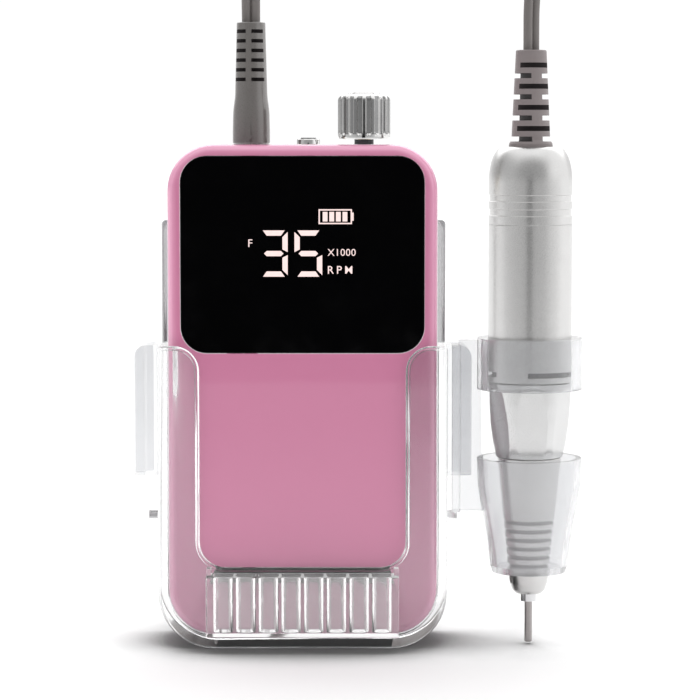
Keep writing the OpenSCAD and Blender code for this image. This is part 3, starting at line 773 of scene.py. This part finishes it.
def make_front_cover():
    cover = box_half("front_cover_shell", (BOX_LOW.y, SEAM, BOX_EDGE, 0.25),
                     (BOX_LOW.y + 2.2, SEAM + 1, 0.8, 0.01))
    gap = 0.1
    pocket = soft_slab("pocket", WINDOW_HIGH.x + gap, WINDOW_LOW.z - gap, WINDOW_HIGH.z + gap,
                       WINDOW_CORNER + gap, WINDOW_CORNER + gap, BOX_LOW.y - 1, WINDOW_HIGH.y + 0.01,
                       0.01, 0.01)
    combine(cover, [pocket])
    opening_half, opening_low, opening_high = 24, 98, 146
    holes = [block("opening", (-opening_half, BOX_LOW.y - 1, opening_low),
                   (opening_half, BOX_LOW.y + 4, opening_high))]
    holes += [rod_z("hole", radius, (x, 0), BOX_HIGH.z - WALL - 1, BOX_HIGH.z + 1)
              for x, radius in ((PLUG_X, 4), (BUTTON.x, 3), (KNOB.x, 3))]
    port_z = (PORT[0].z + PORT[1].z) / 2
    holes.append(rod_x("hole", 4, -HALF_W - 1, -HALF_W + WALL + 1, 0, port_z))
    combine(cover, holes)
    return settle(soften(cover, 0.18, 2), "control_box", "pink_plastic", "front_cover")


def make_rear_cover():
    cover = box_half("rear_cover_shell", (SEAM, BACK, 0.25, BOX_EDGE), (SEAM - 1, BACK - WALL, 0.01, 0.8))
    screw_seat = 9.4
    for name, radius, front, back, operation in (("boss", 3.8, SEAM - 3.9, BACK - WALL + 0.4, "UNION"),
                                                 ("bore", 1.5, SEAM - 5, BACK - 1, "DIFFERENCE"),
                                                 ("sink", 2.7, screw_seat, BACK + 1, "DIFFERENCE")):
        combine(cover, [rod_y(name, radius, x, z, front, back) for x in (-34, 34) for z in (14, 143)],
                operation)
    return settle(soften(cover, 0.18, 2), "control_box", "pink_plastic", "rear_cover")


def make_window():
    pane = soft_slab("display_window_pane", WINDOW_HIGH.x, WINDOW_LOW.z, WINDOW_HIGH.z, WINDOW_CORNER,
                     WINDOW_CORNER, WINDOW_LOW.y, WINDOW_HIGH.y, 0.25, 0.05, BLACK_WINDOW)
    return settle(even_normals(pane), "control_box", "window", "display_window")


# Digits of the readout: their foot, size and stroke, the step between them and the gap between lit bars
DIGIT_Z = 113.6
DIGIT_H = 14
DIGIT_W = 8.4
STROKE = 1.6
DIGIT_PITCH = 10.45
DIGIT_GAP = 0.45
LIT = {"3": "abgcd", "5": "afgcd"}


def segment(name, x):
    """Outline of one lit bar of a digit whose left edge is at x, as (x, z) points."""
    half_w, half_h, near, far = DIGIT_W / 2, DIGIT_H / 2, DIGIT_GAP, STROKE
    if name in "ad":
        long, short = half_w - 2 * near, half_w - far - near
        shape = [(-long, half_h), (long, half_h), (short, half_h - far), (-short, half_h - far)]
    elif name == "g":
        long, short, thin = half_w - far / 2 - near, half_w - far - near, far / 2
        shape = [(-long, 0), (-short, thin), (short, thin), (long, 0), (short, -thin), (-short, -thin)]
    else:
        shape = [(half_w, near), (half_w, half_h - near), (half_w - far, half_h - far - near),
                 (half_w - far, far / 2 + near)]
    across, up = -1 if name == "f" else 1, -1 if name in "cd" else 1
    return [(x + half_w + across * px, DIGIT_Z + half_h + up * pz) for px, pz in shape]


def bar(x0, x1, z0, z1):
    return [(x0, z0), (x1, z0), (x1, z1), (x0, z1)]


def readout_prisms(shapes, name):
    """One piece of thin lit prisms on the window's face."""
    front, back = WINDOW_LOW.y - 0.03, WINDOW_LOW.y + 0.02
    piece = joined([prism_y("prism", shape, front, back, READOUT) for shape in shapes])
    piece.name = name
    smooth(piece)
    return settle(piece, "control_box", "light_block")


def lettering(text, name, x, z, height, spacing, bold):
    """Generic unit text as lit letters, from the built-in font; x and z give its lower left corner."""
    data = bpy.data.curves.new(name, "FONT")
    data.body = text
    data.size = height / 0.7 * MM
    data.space_character = spacing
    data.extrude = 0.02 * MM
    data.offset = bold * MM
    letters = placed(name, data)
    mesh = shown_mesh(letters)
    bpy.data.objects.remove(letters)
    mesh.transform(Matrix.Rotation(pi / 2, 4, "X"))
    low_x = min(v.co.x for v in mesh.vertices)
    low_z = min(v.co.z for v in mesh.vertices)
    mesh.transform(Matrix.Translation((x * MM - low_x, WINDOW_LOW.y * MM, z * MM - low_z)))
    mesh.materials.clear()
    mesh.materials.append(READOUT)
    return settle(clean(placed(name, mesh), 0.001), "control_box", "light_block")


def make_readouts():
    five_x = -2.4
    digits = [segment(s, five_x - DIGIT_PITCH) for s in LIT["3"]]
    digits += [segment(s, five_x) for s in LIT["5"]]
    readout_prisms(digits, "readout_digits")
    line = 0.4
    x0, x1, z0, z1 = 4.9, 15.0, 129.5, 134.0
    battery = [bar(x0, x1, z0, z0 + line), bar(x0, x1, z1 - line, z1),
               bar(x0, x0 + line, z0 + line, z1 - line), bar(x1 - line, x1, z0 + line, z1 - line),
               bar(x1 + 0.02, x1 + 0.5, 130.5, 133.0)]
    battery += [bar(6.15 + 2.0 * k, 7.6 + 2.0 * k, 130.3, 133.2) for k in range(4)]
    readout_prisms(battery, "readout_battery")
    lettering("F", "readout_direction", -16.35, 122.6, 2.35, 1.0, 0.0)
    lettering("X1000", "readout_factor", 7.6, 119.9, 2.1, 1.08, 0.0)
    lettering("RPM", "readout_unit", 7.7, 114.5, 2.35, 1.45, 0.015)


def make_knob():
    """Chrome knob with round-ended flutes, a plain rim below and a two-step domed top."""
    low, high = box_mm("speed_knob")
    radius = (high.x - low.x) / 2
    flutes, flute_half, flute_deep, wall = 18, 0.58, 0.6, 0.34
    bore_top = box_mm("pot_shaft")[1].z + 0.1
    start = low.z + 1.25

    def fluted(r, z, angle):
        pitch = 2 * pi / flutes
        off = (angle + pitch / 2) % pitch - pitch / 2
        reach = hypot(radius * sin(off), max(0, start + flute_half + wall - z))
        depth = flute_deep * (1 - ease((reach - flute_half) / wall))
        return r - depth * min(1, max(0, (r - 0.66 * radius) / (0.2 * radius)))

    top = high.z
    profile = fillet([
        (0, bore_top), (2.02, bore_top), (2.02, low.z + 2.2), (3.3, low.z + 2.2), (3.3, low.z),
        (radius, low.z, 0.5), (radius, top - 1.0, 1.9), (0.62 * radius, top - 0.8, 0.3),
        (0.57 * radius, top, 0.6), (0, top),
    ])
    knob = lathe("speed_knob_fluted", levels(profile, 0.35, 0.8 * radius) + profile[-1:], (KNOB.x, 0), CHROME,
                 steps=flutes * 20, degrees=40, radius_at=fluted)
    # Painted shade: the flutes' flat floors and the ridges' tops take the darker chrome, so only the steep
    # walls stay bright.
    repaint(knob, DARK_CHROME, lambda side, reach, z: start + wall < z < top - 1.3
            and abs(radius - flute_deep / 2 - reach) > 0.47 * flute_deep, (KNOB.x, 0))
    return settle(even_normals(knob), "knob", "chrome_trim", "speed_knob")


def make_button():
    """Chrome bezel round the direction button, and the button's dished cap."""
    low, high = box_mm("button_bezel")
    outer = (high.x - low.x) / 2
    inner = 2.55
    top = high.z
    box_top = BOX_HIGH.z
    bezel = lathe("direction_bezel", fillet([
        (inner, low.z), (2.95, low.z), (2.95, box_top - 4.2), (outer, box_top - 4.2),
        (outer, box_top - 2.01), (2.95, box_top - 2.01), (2.95, box_top + 0.01),
        (3.6, box_top + 0.01), (3.6, top, 0.35), (inner, top, 0.3), (inner, low.z),
    ])[:-1], (BUTTON.x, 0), CHROME, steps=64)
    settle(even_normals(bezel), "control_box", "chrome_trim", "button_bezel")
    low, high = box_mm("button_cap")
    radius = (high.x - low.x) / 2
    cap = lathe("direction_button_cap", fillet([
        (0, low.z), (radius, low.z), (radius, high.z, 0.4), (radius - 0.7, high.z - 0.02, 0.3),
        (radius - 1.0, high.z - 0.2, 0.3), (0, high.z - 0.25),
    ]), (BUTTON.x, 0), DARK_CHROME, steps=64)
    settle(even_normals(cap), "direction_button", "chrome_trim", "button_cap")


make_front_cover()
make_rear_cover()
make_window()
make_readouts()
make_knob()
make_button()


# ---- Cradle, bit rack and holder ----

CRADLE_HIGH = box_mm("cradle_shell")[1]
CRADLE_HALF = HALF_W + 3
CRADLE_DEPTH = CRADLE_HIGH.y
CRADLE_FLOOR = 3.8
STRIP_TOP = 92
RAIL_HIGH = box_mm("handpiece_holder")[1]
SOCKET_Y = HAND.y
RAIL_X = CRADLE_HALF + 1.4
RAIL_END = RAIL_X + 2.6
RAIL_HALF_Y = 5.4
WEB_HALF = 1


def bead(name, points, y, radius):
    """Round bead along a path of (x, z) points."""
    sides = 12
    rings = []
    for point, way in zip(points, headings(points)):
        across = Vector((way.y, -way.x))
        ring = []
        for angle in angles(2 * pi, sides)[:-1]:
            spot = point + across * radius * cos(angle)
            ring.append((spot.x, y + radius * sin(angle), spot.y))
        rings.append(ring)
    return loft(name, rings, degrees=60)


def make_socket(side):
    """Socket whose T-shaped channel takes the bracket's rail."""
    low, high = 53.2, 92.9
    outer = CRADLE_HIGH.x
    half_y = 7
    shape = fillet([(CRADLE_HALF - 0.5, low), (outer, low, 0.6), (outer, high, 4), (CRADLE_HALF - 0.5, high)])
    socket = prism_y("socket", shape, SOCKET_Y - half_y, SOCKET_Y + half_y, THICK_CLEAR)
    gap = 0.2
    for x0, x1, half in ((RAIL_X - gap, RAIL_END + gap, RAIL_HALF_Y), (RAIL_X + 2, outer + 1, WEB_HALF)):
        y0, y1 = SOCKET_Y - half - gap, SOCKET_Y + half + gap
        combine(socket, [block("channel", (x0, y0, low - 1), (x1, y1, high + 1))])
    if side < 0:
        turned(socket, Matrix.Scale(-1, 4, (1, 0, 0)))
        socket.data.flip_normals()
    return socket


def make_cradle():
    """Clear tray with a U-shaped front window in a beaded edge, a flanged back plate, and a socket and a
    stop on each side."""
    floor_r, sill_r, strip_r = 17, 8.5, 7
    sill, window_half, floor_half = 24.5, 32, 30
    round_off = ((0, 0.9), (0.26, 0.26), (0.9, 0))
    rims = [(in_from_face - CRADLE_DEPTH, inset) for in_from_face, inset in round_off]
    rims += [(-y, inset) for y, inset in reversed(rims)]
    shell = loft("cradle_shell_clear", [
        [(p.x, y, p.y) for p in outline(CRADLE_HALF - inset, inset, STRIP_TOP, floor_r - inset, 0.05)]
        for y, inset in rims], CLEAR)
    room = 0.4
    inner_half, inner_depth = HALF_W + room, BACK + room
    combine(shell, [soft_slab("inside", inner_half, CRADLE_FLOOR, 200, BOX_CORNER + room, 1, -inner_depth,
                              inner_depth, 0.8, 0.8)])
    x, z = window_half, STRIP_TOP
    corner = [Vector((x + strip_r * (1 - cos(a)), z - strip_r + strip_r * sin(a)))
              for a in angles(pi / 2, 10)]
    mirrored = [Vector((-p.x, p.y)) for p in corner]
    lower = fillet([(-x, 60), (-x, sill, sill_r), (x, sill, sill_r), (x, 60)], steps=10)
    mouth = lower + corner + [(x + strip_r, z + 20), (-x - strip_r, z + 20)] + mirrored[::-1]
    combine(shell, [prism_y("mouth", mouth, -CRADLE_DEPTH - 1, -BACK + 1)])
    thick = CRADLE_DEPTH - inner_depth
    plate = soft_slab("plate", CRADLE_HALF, STRIP_TOP - 12, CRADLE_HIGH.z, 0.05, 5, inner_depth,
                      CRADLE_DEPTH, thick * 0.49, thick * 0.49)
    combine(shell, [plate], "UNION")
    near, far, top = inner_half, CRADLE_HALF - 0.02, CRADLE_HIGH.z - 1
    flange = fillet([(near, STRIP_TOP - 3), (far, STRIP_TOP - 3), (far, top, 4), (near, top)], steps=8)
    flanges = [prism_y("flange", [(side * px, pz) for px, pz in flange], 7.5, CRADLE_DEPTH - 0.4, EDGE_CLEAR)
               for side in (-1, 1)]
    combine(shell, flanges, "UNION")
    combine(shell, [make_socket(1), make_socket(-1)], "UNION")
    stops = [rod_x("stop", 1.3, *sorted((side * (CRADLE_HALF - 0.5), side * (CRADLE_HALF + 3.2))),
                   SOCKET_Y, 40.2) for side in (-1, 1)]
    combine(shell, stops, "UNION")
    bake(soften(shell, 0.3, 3, 30))
    start, end = Vector((CRADLE_HALF - 1, z)), Vector((1 - CRADLE_HALF, z))
    edge = [start, *corner[::-1], *lower[::-1], *mirrored, end]
    combine(shell, [bead("lip", edge, -CRADLE_DEPTH + 0.25, 0.7)], "UNION")
    # Painted shade: the cradle's floor takes the darker clear plastic.
    repaint(shell, BASE_SHADE_CLEAR, lambda side, reach, z: z < CRADLE_FLOOR + 0.01 and abs(side) < floor_half)
    repaint(shell, WALL_CLEAR, lambda side, reach, z: abs(side) > HALF_W or z < CRADLE_FLOOR)
    smooth(shell, 30)
    return settle(shell, "cradle", "clear_plastic", "cradle_shell")


def make_rack():
    """Rack of round-fronted bit pockets, with a taller post at each end."""
    low, high = box_mm("bit_rack")
    glue = 0.06
    front, back = low.y, high.y - glue
    half = high.x
    rack_top = high.z - 2
    pockets, pitch, width = 8, 6.85, 5.9
    depth, wall, post = 7.2, 0.9, 1.4
    rack = block("bit_rack_clear", (-half, front, low.z), (half, back, rack_top), RACK_CLEAR)
    posts = [block("post", (x, (front + back) / 2, rack_top - 1), (x + post, back, high.z))
             for x in (-half, half - post)]
    combine(rack, posts, "UNION")
    cells = []
    for i in range(pockets):
        x = (i - (pockets - 1) / 2) * pitch
        y1 = back - wall
        y0 = y1 - depth + width / 2
        arc = [around((x, y0), -width / 2, a) for a in angles(pi, 16)]
        ring = [(x - width / 2, y1)] + arc + [(x + width / 2, y1)]
        cells.append(loft("cell", [[(px, py, z) for px, py in ring] for z in (low.z + 1.2, high.z + 5)]))
    combine(rack, cells)
    return settle(soften(rack, 0.22, 2, 30), "cradle", "clear_plastic", "bit_rack")


def make_holder():
    """Bracket with its rail, web, upper ring and lower cup in one moulding."""
    ring_low, ring_high, ring_out, ring_in = 79, RAIL_HIGH.z, 16, 12.95
    rim = 57.9
    wall, floor_z, hole = 1.8, 24.7, 6.5
    cup = [(11.2, floor_z - 2), (11.9, floor_z), (12.6, 31), (13.5, 37.1), (14.7, 43.3), (15.65, 49.5),
           (16, rim)]
    foot = 41.5
    holder = block("handpiece_holder_clear", (RAIL_X, SOCKET_Y - RAIL_HALF_Y, foot),
                   (RAIL_END, SOCKET_Y + RAIL_HALF_Y, 92.5), HOLDER_CLEAR, 0.4)
    web = fillet([(RAIL_END - 0.5, foot), (HAND.x - 8, foot), (HAND.x - 8, rim - 0.5),
                  (HAND.x - 14.6, rim - 0.5, 2.5), (HAND.x - 15.2, ring_high - 0.7, 1.2),
                  (RAIL_END - 0.5, ring_high - 0.7)], closed=True, steps=4)
    combine(holder, [prism_y("web", web, SOCKET_Y - WEB_HALF, SOCKET_Y + WEB_HALF)], "UNION")
    ring = rod_z("ring", ring_out, HAND, ring_low, ring_high, 128)
    cone = lathe("cup", [(0, cup[0][1])] + cup + [(0, rim)], HAND, steps=128)
    combine(holder, [ring, cone], "UNION")
    bore = rod_z("bore", ring_in, HAND, ring_low - 1, ring_high + 1, 128)
    inner = [(r - wall, z) for r, z in cup if z > floor_z + 1]
    hollow = lathe("hollow", [(0, floor_z), (10, floor_z)] + inner + [(14.3, rim + 2), (0, rim + 2)],
                   HAND, steps=128)
    combine(holder, [bore, hollow])
    combine(holder, [rod_z("hole", hole, HAND, floor_z - 4, floor_z + 1, 96)])
    return settle(soften(holder, 0.3, 3, 30), "cradle", "clear_plastic", "handpiece_holder")


make_cradle()
make_rack()
make_holder()


# ---- Handpiece ----

HAND_R = 12.75
CAP_LOW, CAP_HIGH = box_mm("rear_cap")
CAP_SEAM = box_mm("motor_housing")[1].z
SLEEVE_LOW, SLEEVE_HIGH = box_mm("lock_sleeve")
CONE_LOW = box_mm("nose_cone")[0]


def make_motor_housing():
    """Satin barrel, with three slots that show the lock's turn; their faces are painted dark as shade."""
    top, low, step = CAP_SEAM, SLEEVE_HIGH.z + 0.3, 88.5
    bore, throat = 11.65, 9
    housing = lathe("motor_housing_barrel", fillet([
        (throat, low), (HAND_R, low, 0.25), (HAND_R, top, 0.2), (bore, top), (bore, step), (throat, step),
        (throat, low)])[:-1], HAND, ALUMINIUM, steps=160)
    slots = []
    for start in (-96, 24, 144):
        arc = [radians(start + a) for a in angles(76, 20)]
        ring = [around(HAND, HAND_R - 1.3, a) for a in arc] + [around(HAND, 15, a) for a in reversed(arc)]
        slots.append(loft("slot", [[(x, y, z) for x, y in ring] for z in (83.3, 84.8)], TRACK_SHADE))
    combine(housing, slots)
    return settle(soften(housing, 0.1, 2), "handpiece", "satin_aluminium", "motor_housing")


def make_rear_cap():
    """Rear cap with a round shoulder and two turned grooves with bright edges."""
    inset = 0.35
    seam = CAP_SEAM + 0.01
    shoulder = 142.5
    reach = 4.5
    arc = [(HAND_R - reach + reach * cos(a), shoulder + (CAP_HIGH.z - shoulder) * sin(a))
           for a in angles(pi / 2, 14)[:-1]]
    side = [(0, CAP_LOW.z), (11.6, CAP_LOW.z), (11.6, seam), (HAND_R, seam, 0.15)]
    for z in (131.9, 136.2):
        side += [(HAND_R, z, 0.12), (HAND_R - inset, z + 0.2), (HAND_R - inset, z + 1.9),
                 (HAND_R, z + 2.1, 0.12)]
    profile = fillet(side + [(HAND_R, shoulder - 1)]) + arc + fillet([
        (8.25, CAP_HIGH.z), (4.6, CAP_HIGH.z, 0.2), (4.6, CAP_HIGH.z - 1.8), (6.5, CAP_HIGH.z - 1.8),
        (8, 149), (10.2, 144), (10.6, 139.9), (10.6, CAP_LOW.z)])
    cap = lathe("rear_cap_turned", profile[1:], HAND, ALUMINIUM, steps=160, degrees=28)
    return settle(even_normals(cap), "handpiece", "satin_aluminium", "rear_cap")


def make_cord_relief():
    """Tapered rubber sleeve, cut by crossing pairs of slots so that it can bend."""
    top = RELIEF_TOP
    low = CAP_HIGH.z
    relief = lathe("cord_relief_ribbed", fillet([
        (0, low - 3.8), (6, low - 3.8), (6, low - 1.9), (4.5, low - 1.9), (4.5, low + 0.01),
        (6.7, low + 0.01), (6.6, low + 0.9, 0.3), (6.0, low + 1.9, 0.4), (5.9, low + 2.1),
        (4.65, top, 0.5), (0, top)]), HAND, RELIEF_PVC)
    turn = Matrix.Translation((HAND.x, HAND.y, 0)) @ Matrix.Rotation(radians(17), 4, "Z")
    first_slot, pitch, half, out, front_near, side_near = low + 5.5, 6.36, 0.75, 8, 2.2, 1.7
    for i in range(4):
        z = first_slot + pitch * i
        slots = [block("slot", (-out, near, z - half), (out, far, z + half), SLOT_DARK, 0.45)
                 for near, far in ((front_near, out), (-out, -front_near))]
        z -= pitch / 2
        slots += [block("slot", (near, -out, z - half), (far, out, z + half), SLOT_DARK, 0.7)
                  for near, far in ((side_near, out), (-out, -side_near))]
        combine(relief, [turned(slot, turn) for slot in slots])
    return settle(soften(relief, 0.16, 2), "handpiece", "grey_pvc", "cord_relief")


def make_lock_sleeve():
    """Twist-lock sleeve with six broad flats, one of them facing front."""
    low, high = SLEEVE_LOW.z, SLEEVE_HIGH.z
    tilt = tan(radians(7))
    inner, flat_start = 9.9, 9.85

    def flats(r, z, angle):
        if r < inner:
            return r
        off = (angle - pi / 6) % (pi / 3)
        off = min(off, pi / 3 - off)
        return min(r, (flat_start + tilt * (z - low - 1.8)) / cos(off))

    outer = fillet([(8.75, low), (10.2, low, 0.3), (11.15, 62.5), (11.95, 68.5), (12.4, 74.5),
                    (12.7, high, 0.25), (10, high), (10, 70), (8.75, 70), (8.75, low)])
    sleeve = lathe("lock_sleeve_faceted", levels(outer, 1.2, inner), HAND, POLISHED, steps=180, degrees=12,
                   radius_at=flats)
    return settle(even_normals(sleeve), "twist_lock", "satin_aluminium", "lock_sleeve")


def make_nose_cone():
    """Tapered front with six turned grooves and a round tip."""
    low_r, high_r, low, high = 5.95, 9.75, 20.6, SLEEVE_LOW.z - 0.2
    slope = (high_r - low_r) / (high - low)
    tip = CONE_LOW.z
    points = [(3.2, tip + 0.3), (3.4, tip), (4.0, tip, 0.5), (5.0, tip + 1.0, 1.2), (5.75, tip + 3.2, 1.5),
              (low_r, low)]
    for z in [24.5 + 2.7 * i for i in range(6)]:
        a, b = low_r + slope * (z - low), low_r + slope * (z + 1.1 - low)
        points += [(a, z, 0.12), (a - 0.6, z + 0.15, 0.1), (b - 0.6, z + 0.95, 0.1), (b, z + 1.1, 0.12)]
    points += [(high_r, high, 0.2), (8.6, high), (8.6, 88.7), (11.5, 88.7), (11.5, 91.4), (6.5, 91.4),
               (6.5, 49), (5, 49), (5, 22.5), (3.2, 22.5), (3.2, tip + 0.3)]
    cone = lathe("nose_cone_turned", fillet(points, steps=4)[:-1], HAND, TURNED, steps=144, degrees=28)
    # Painted shade: the groove faces take the darker metal.
    repaint(cone, GROOVE_SHADE, lambda side, reach, z: 24 < z < 40
            and low_r - 2 < reach < low_r + slope * (z - low) - 0.2, HAND)
    return settle(even_normals(cone), "handpiece", "satin_aluminium", "nose_cone")


def make_bit():
    """Ground steel pin with a chamfer at its tip, and a hair thinner where the collet holds it."""
    low, high = box_mm("bit_pin")
    radius = (high.x - low.x) / 2
    pin = lathe("bit_pin_ground", fillet([
        (0, low.z), (radius - 0.2, low.z), (radius, low.z + 0.2, 0.1), (radius, 13.2),
        (radius - 0.02, high.z), (0, high.z)]), HAND, STEEL_BIT, steps=48)
    return settle(even_normals(pin), "bit", "bit_steel", "bit_pin")


def make_plug():
    """Round plug with a smooth flare, a slotted bend relief and a raised arrow, turned to one side."""
    low = box_mm("plug_body")[0].z
    plug = lathe("plug_body_ribbed", fillet([
        (0, low + 8), (1.6, low + 8), (1.6, low), (5.4, low), (5.75, low + 0.45, 0.3), (5.75, low + 4),
        (5.6, 163.6, 30), (4.98, 168.2, 18), (4.9, 171.5), (4.4, PLUG_TOP, 0.4), (0, PLUG_TOP)],
        steps=10), (PLUG_X, 0), GREY_PVC)
    turn = Matrix.Translation((PLUG_X, 0, 0)) @ Matrix.Rotation(radians(-8), 4, "Z")
    slots = [turned(block("slot", (side * 2.85 - 2, front * 3.6 - 1.6, z - 0.55),
                          (side * 2.85 + 2, front * 3.6 + 1.6, z + 0.55), SLOT_DARK, 0.3), turn)
             for z in [173.2 + 2.92 * i for i in range(6)] for front in (-1, 1) for side in (-1, 1)]
    combine(plug, slots)
    shaft, head, tip, neck, tail = 0.75, 1.65, 154.3, 156.2, 159.7
    arrow = [(-shaft, tail), (-shaft, neck), (-head, neck), (0, tip), (head, neck), (shaft, neck),
             (shaft, tail)]
    combine(plug, [turned(prism_y("arrow", arrow, -5.95, -4.5), turn)], "UNION")
    return settle(soften(plug, 0.1, 2), "plug", "grey_pvc", "plug_body")


make_motor_housing()
make_rear_cap()
make_cord_relief()
make_lock_sleeve()
make_nose_cone()
make_bit()
plug = make_plug()

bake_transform(plug_cord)


# ---- Floor and light ----

FLOOR_REACH = 20000


def flat(name, corners, material):
    """Single face of the stage, from its corners in millimetres."""
    mesh = bpy.data.meshes.new(name)
    mesh.from_pydata([Vector(c) * MM for c in corners], [], [(0, 1, 2, 3)])
    mesh.materials.append(material)
    obj = placed(name, mesh)
    return obj


def make_stage():
    """Plain pale floor with a faint glow, dimmer towards the camera, with a painted contact shadow
    where something stands close above it, and a black card that only reflections see."""
    f = Finish("floor_paper", (0.9, 0.9, 0.9), 0.9, specular_ior_level=0.0)
    depth = add_node(f.tree, "SeparateXYZ", {0: f.place})[1]
    near = f.span(depth, 0.5, 1, -0.6, -0.13)
    # Painted contact shadow: ambient occlusion darkens the floor's colour and glow where something stands
    # close above it.
    open_sky = f.node("AmbientOcclusion", {"Distance": 0.034}, samples=8)
    level = f.node("Math", {0: near, 1: f.span(open_sky, 0.16, 1, 0.45, 0.82)}, operation="MULTIPLY")
    f.tint(level, 0.05, 1.0)
    f.set("Emission Color", (1, 1, 1, 1))
    f.set("Emission Strength", f.node("Math", {0: level, 1: 0.1}, operation="MULTIPLY"))
    flat("floor", [(x * FLOOR_REACH, y * FLOOR_REACH, 0) for x, y in ((-1, -1), (1, -1), (1, 1), (-1, 1))],
         f.material)
    black = Finish("black_card", (0.002, 0.002, 0.002), 1.0, specular_ior_level=0.0)
    y, left, right, top = EYE.y - 40, -130, 100, 190
    card = flat("card", [(left, y, 1), (right, y, 1), (right, y, top), (left, y, top)], black.material)
    card.visible_camera = card.visible_diffuse = card.visible_shadow = card.visible_transmission = False


def keep_metal_neutral():
    """Leaves the box and its cradle out of reflections, so that the metal beside them mirrors the studio."""
    left_out = [frame["nodes"][node] for node in frame["record"]["behaviour"]["bodies"]["control_box"]]
    left_out += [obj for obj in SCENE.objects if obj.get("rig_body") == "control_box"]
    left_out += [SCENE.objects[name] for name in ("cradle_shell_clear", "bit_rack_clear")]
    for obj in left_out:
        obj.visible_glossy = False


def make_light():
    """Studio sky: dim straight in front and at the left, brighter at the right, above and high behind."""
    world = bpy.data.worlds.new("studio")
    SCENE.world = world
    world.use_nodes = True
    tree = world.node_tree
    sky = tree.nodes["Background"]
    side, depth, height = add_node(tree, "SeparateXYZ", {0: add_node(tree, "TexCoord", {})["Generated"]})

    def ramp(value, low, high, start, end):
        return add_node(tree, "MapRange", {"Value": value, "From Min": low, "From Max": high, "To Min": start,
                                           "To Max": end}, interpolation_type="SMOOTHSTEP")[0]

    def math_node(operation, a, b):
        return add_node(tree, "Math", {0: a, 1: b}, operation=operation)[0]

    level = ramp(depth, 0.8, 0.95, 0.8, 1.04)
    behind = math_node("MULTIPLY", ramp(depth, 0.25, 0.6, 0.0, 1.35), ramp(height, 0.25, 0.5, 0.0, 1.0))
    for change in (ramp(depth, -0.9, -0.5, -0.42, 0.0), ramp(side, -0.9, -0.5, -0.22, 0.0),
                   ramp(height, 0.4, 0.9, 0.0, 0.4), ramp(side, 0.55, 0.9, 0.0, 0.35), behind):
        level = math_node("ADD", level, change)
    tree.links.new(level, sky.inputs["Strength"])
    sky.inputs["Color"].default_value = (1, 1, 1, 1)


make_stage()
make_light()
keep_metal_neutral()
SCENE.view_settings.view_transform = "Standard"
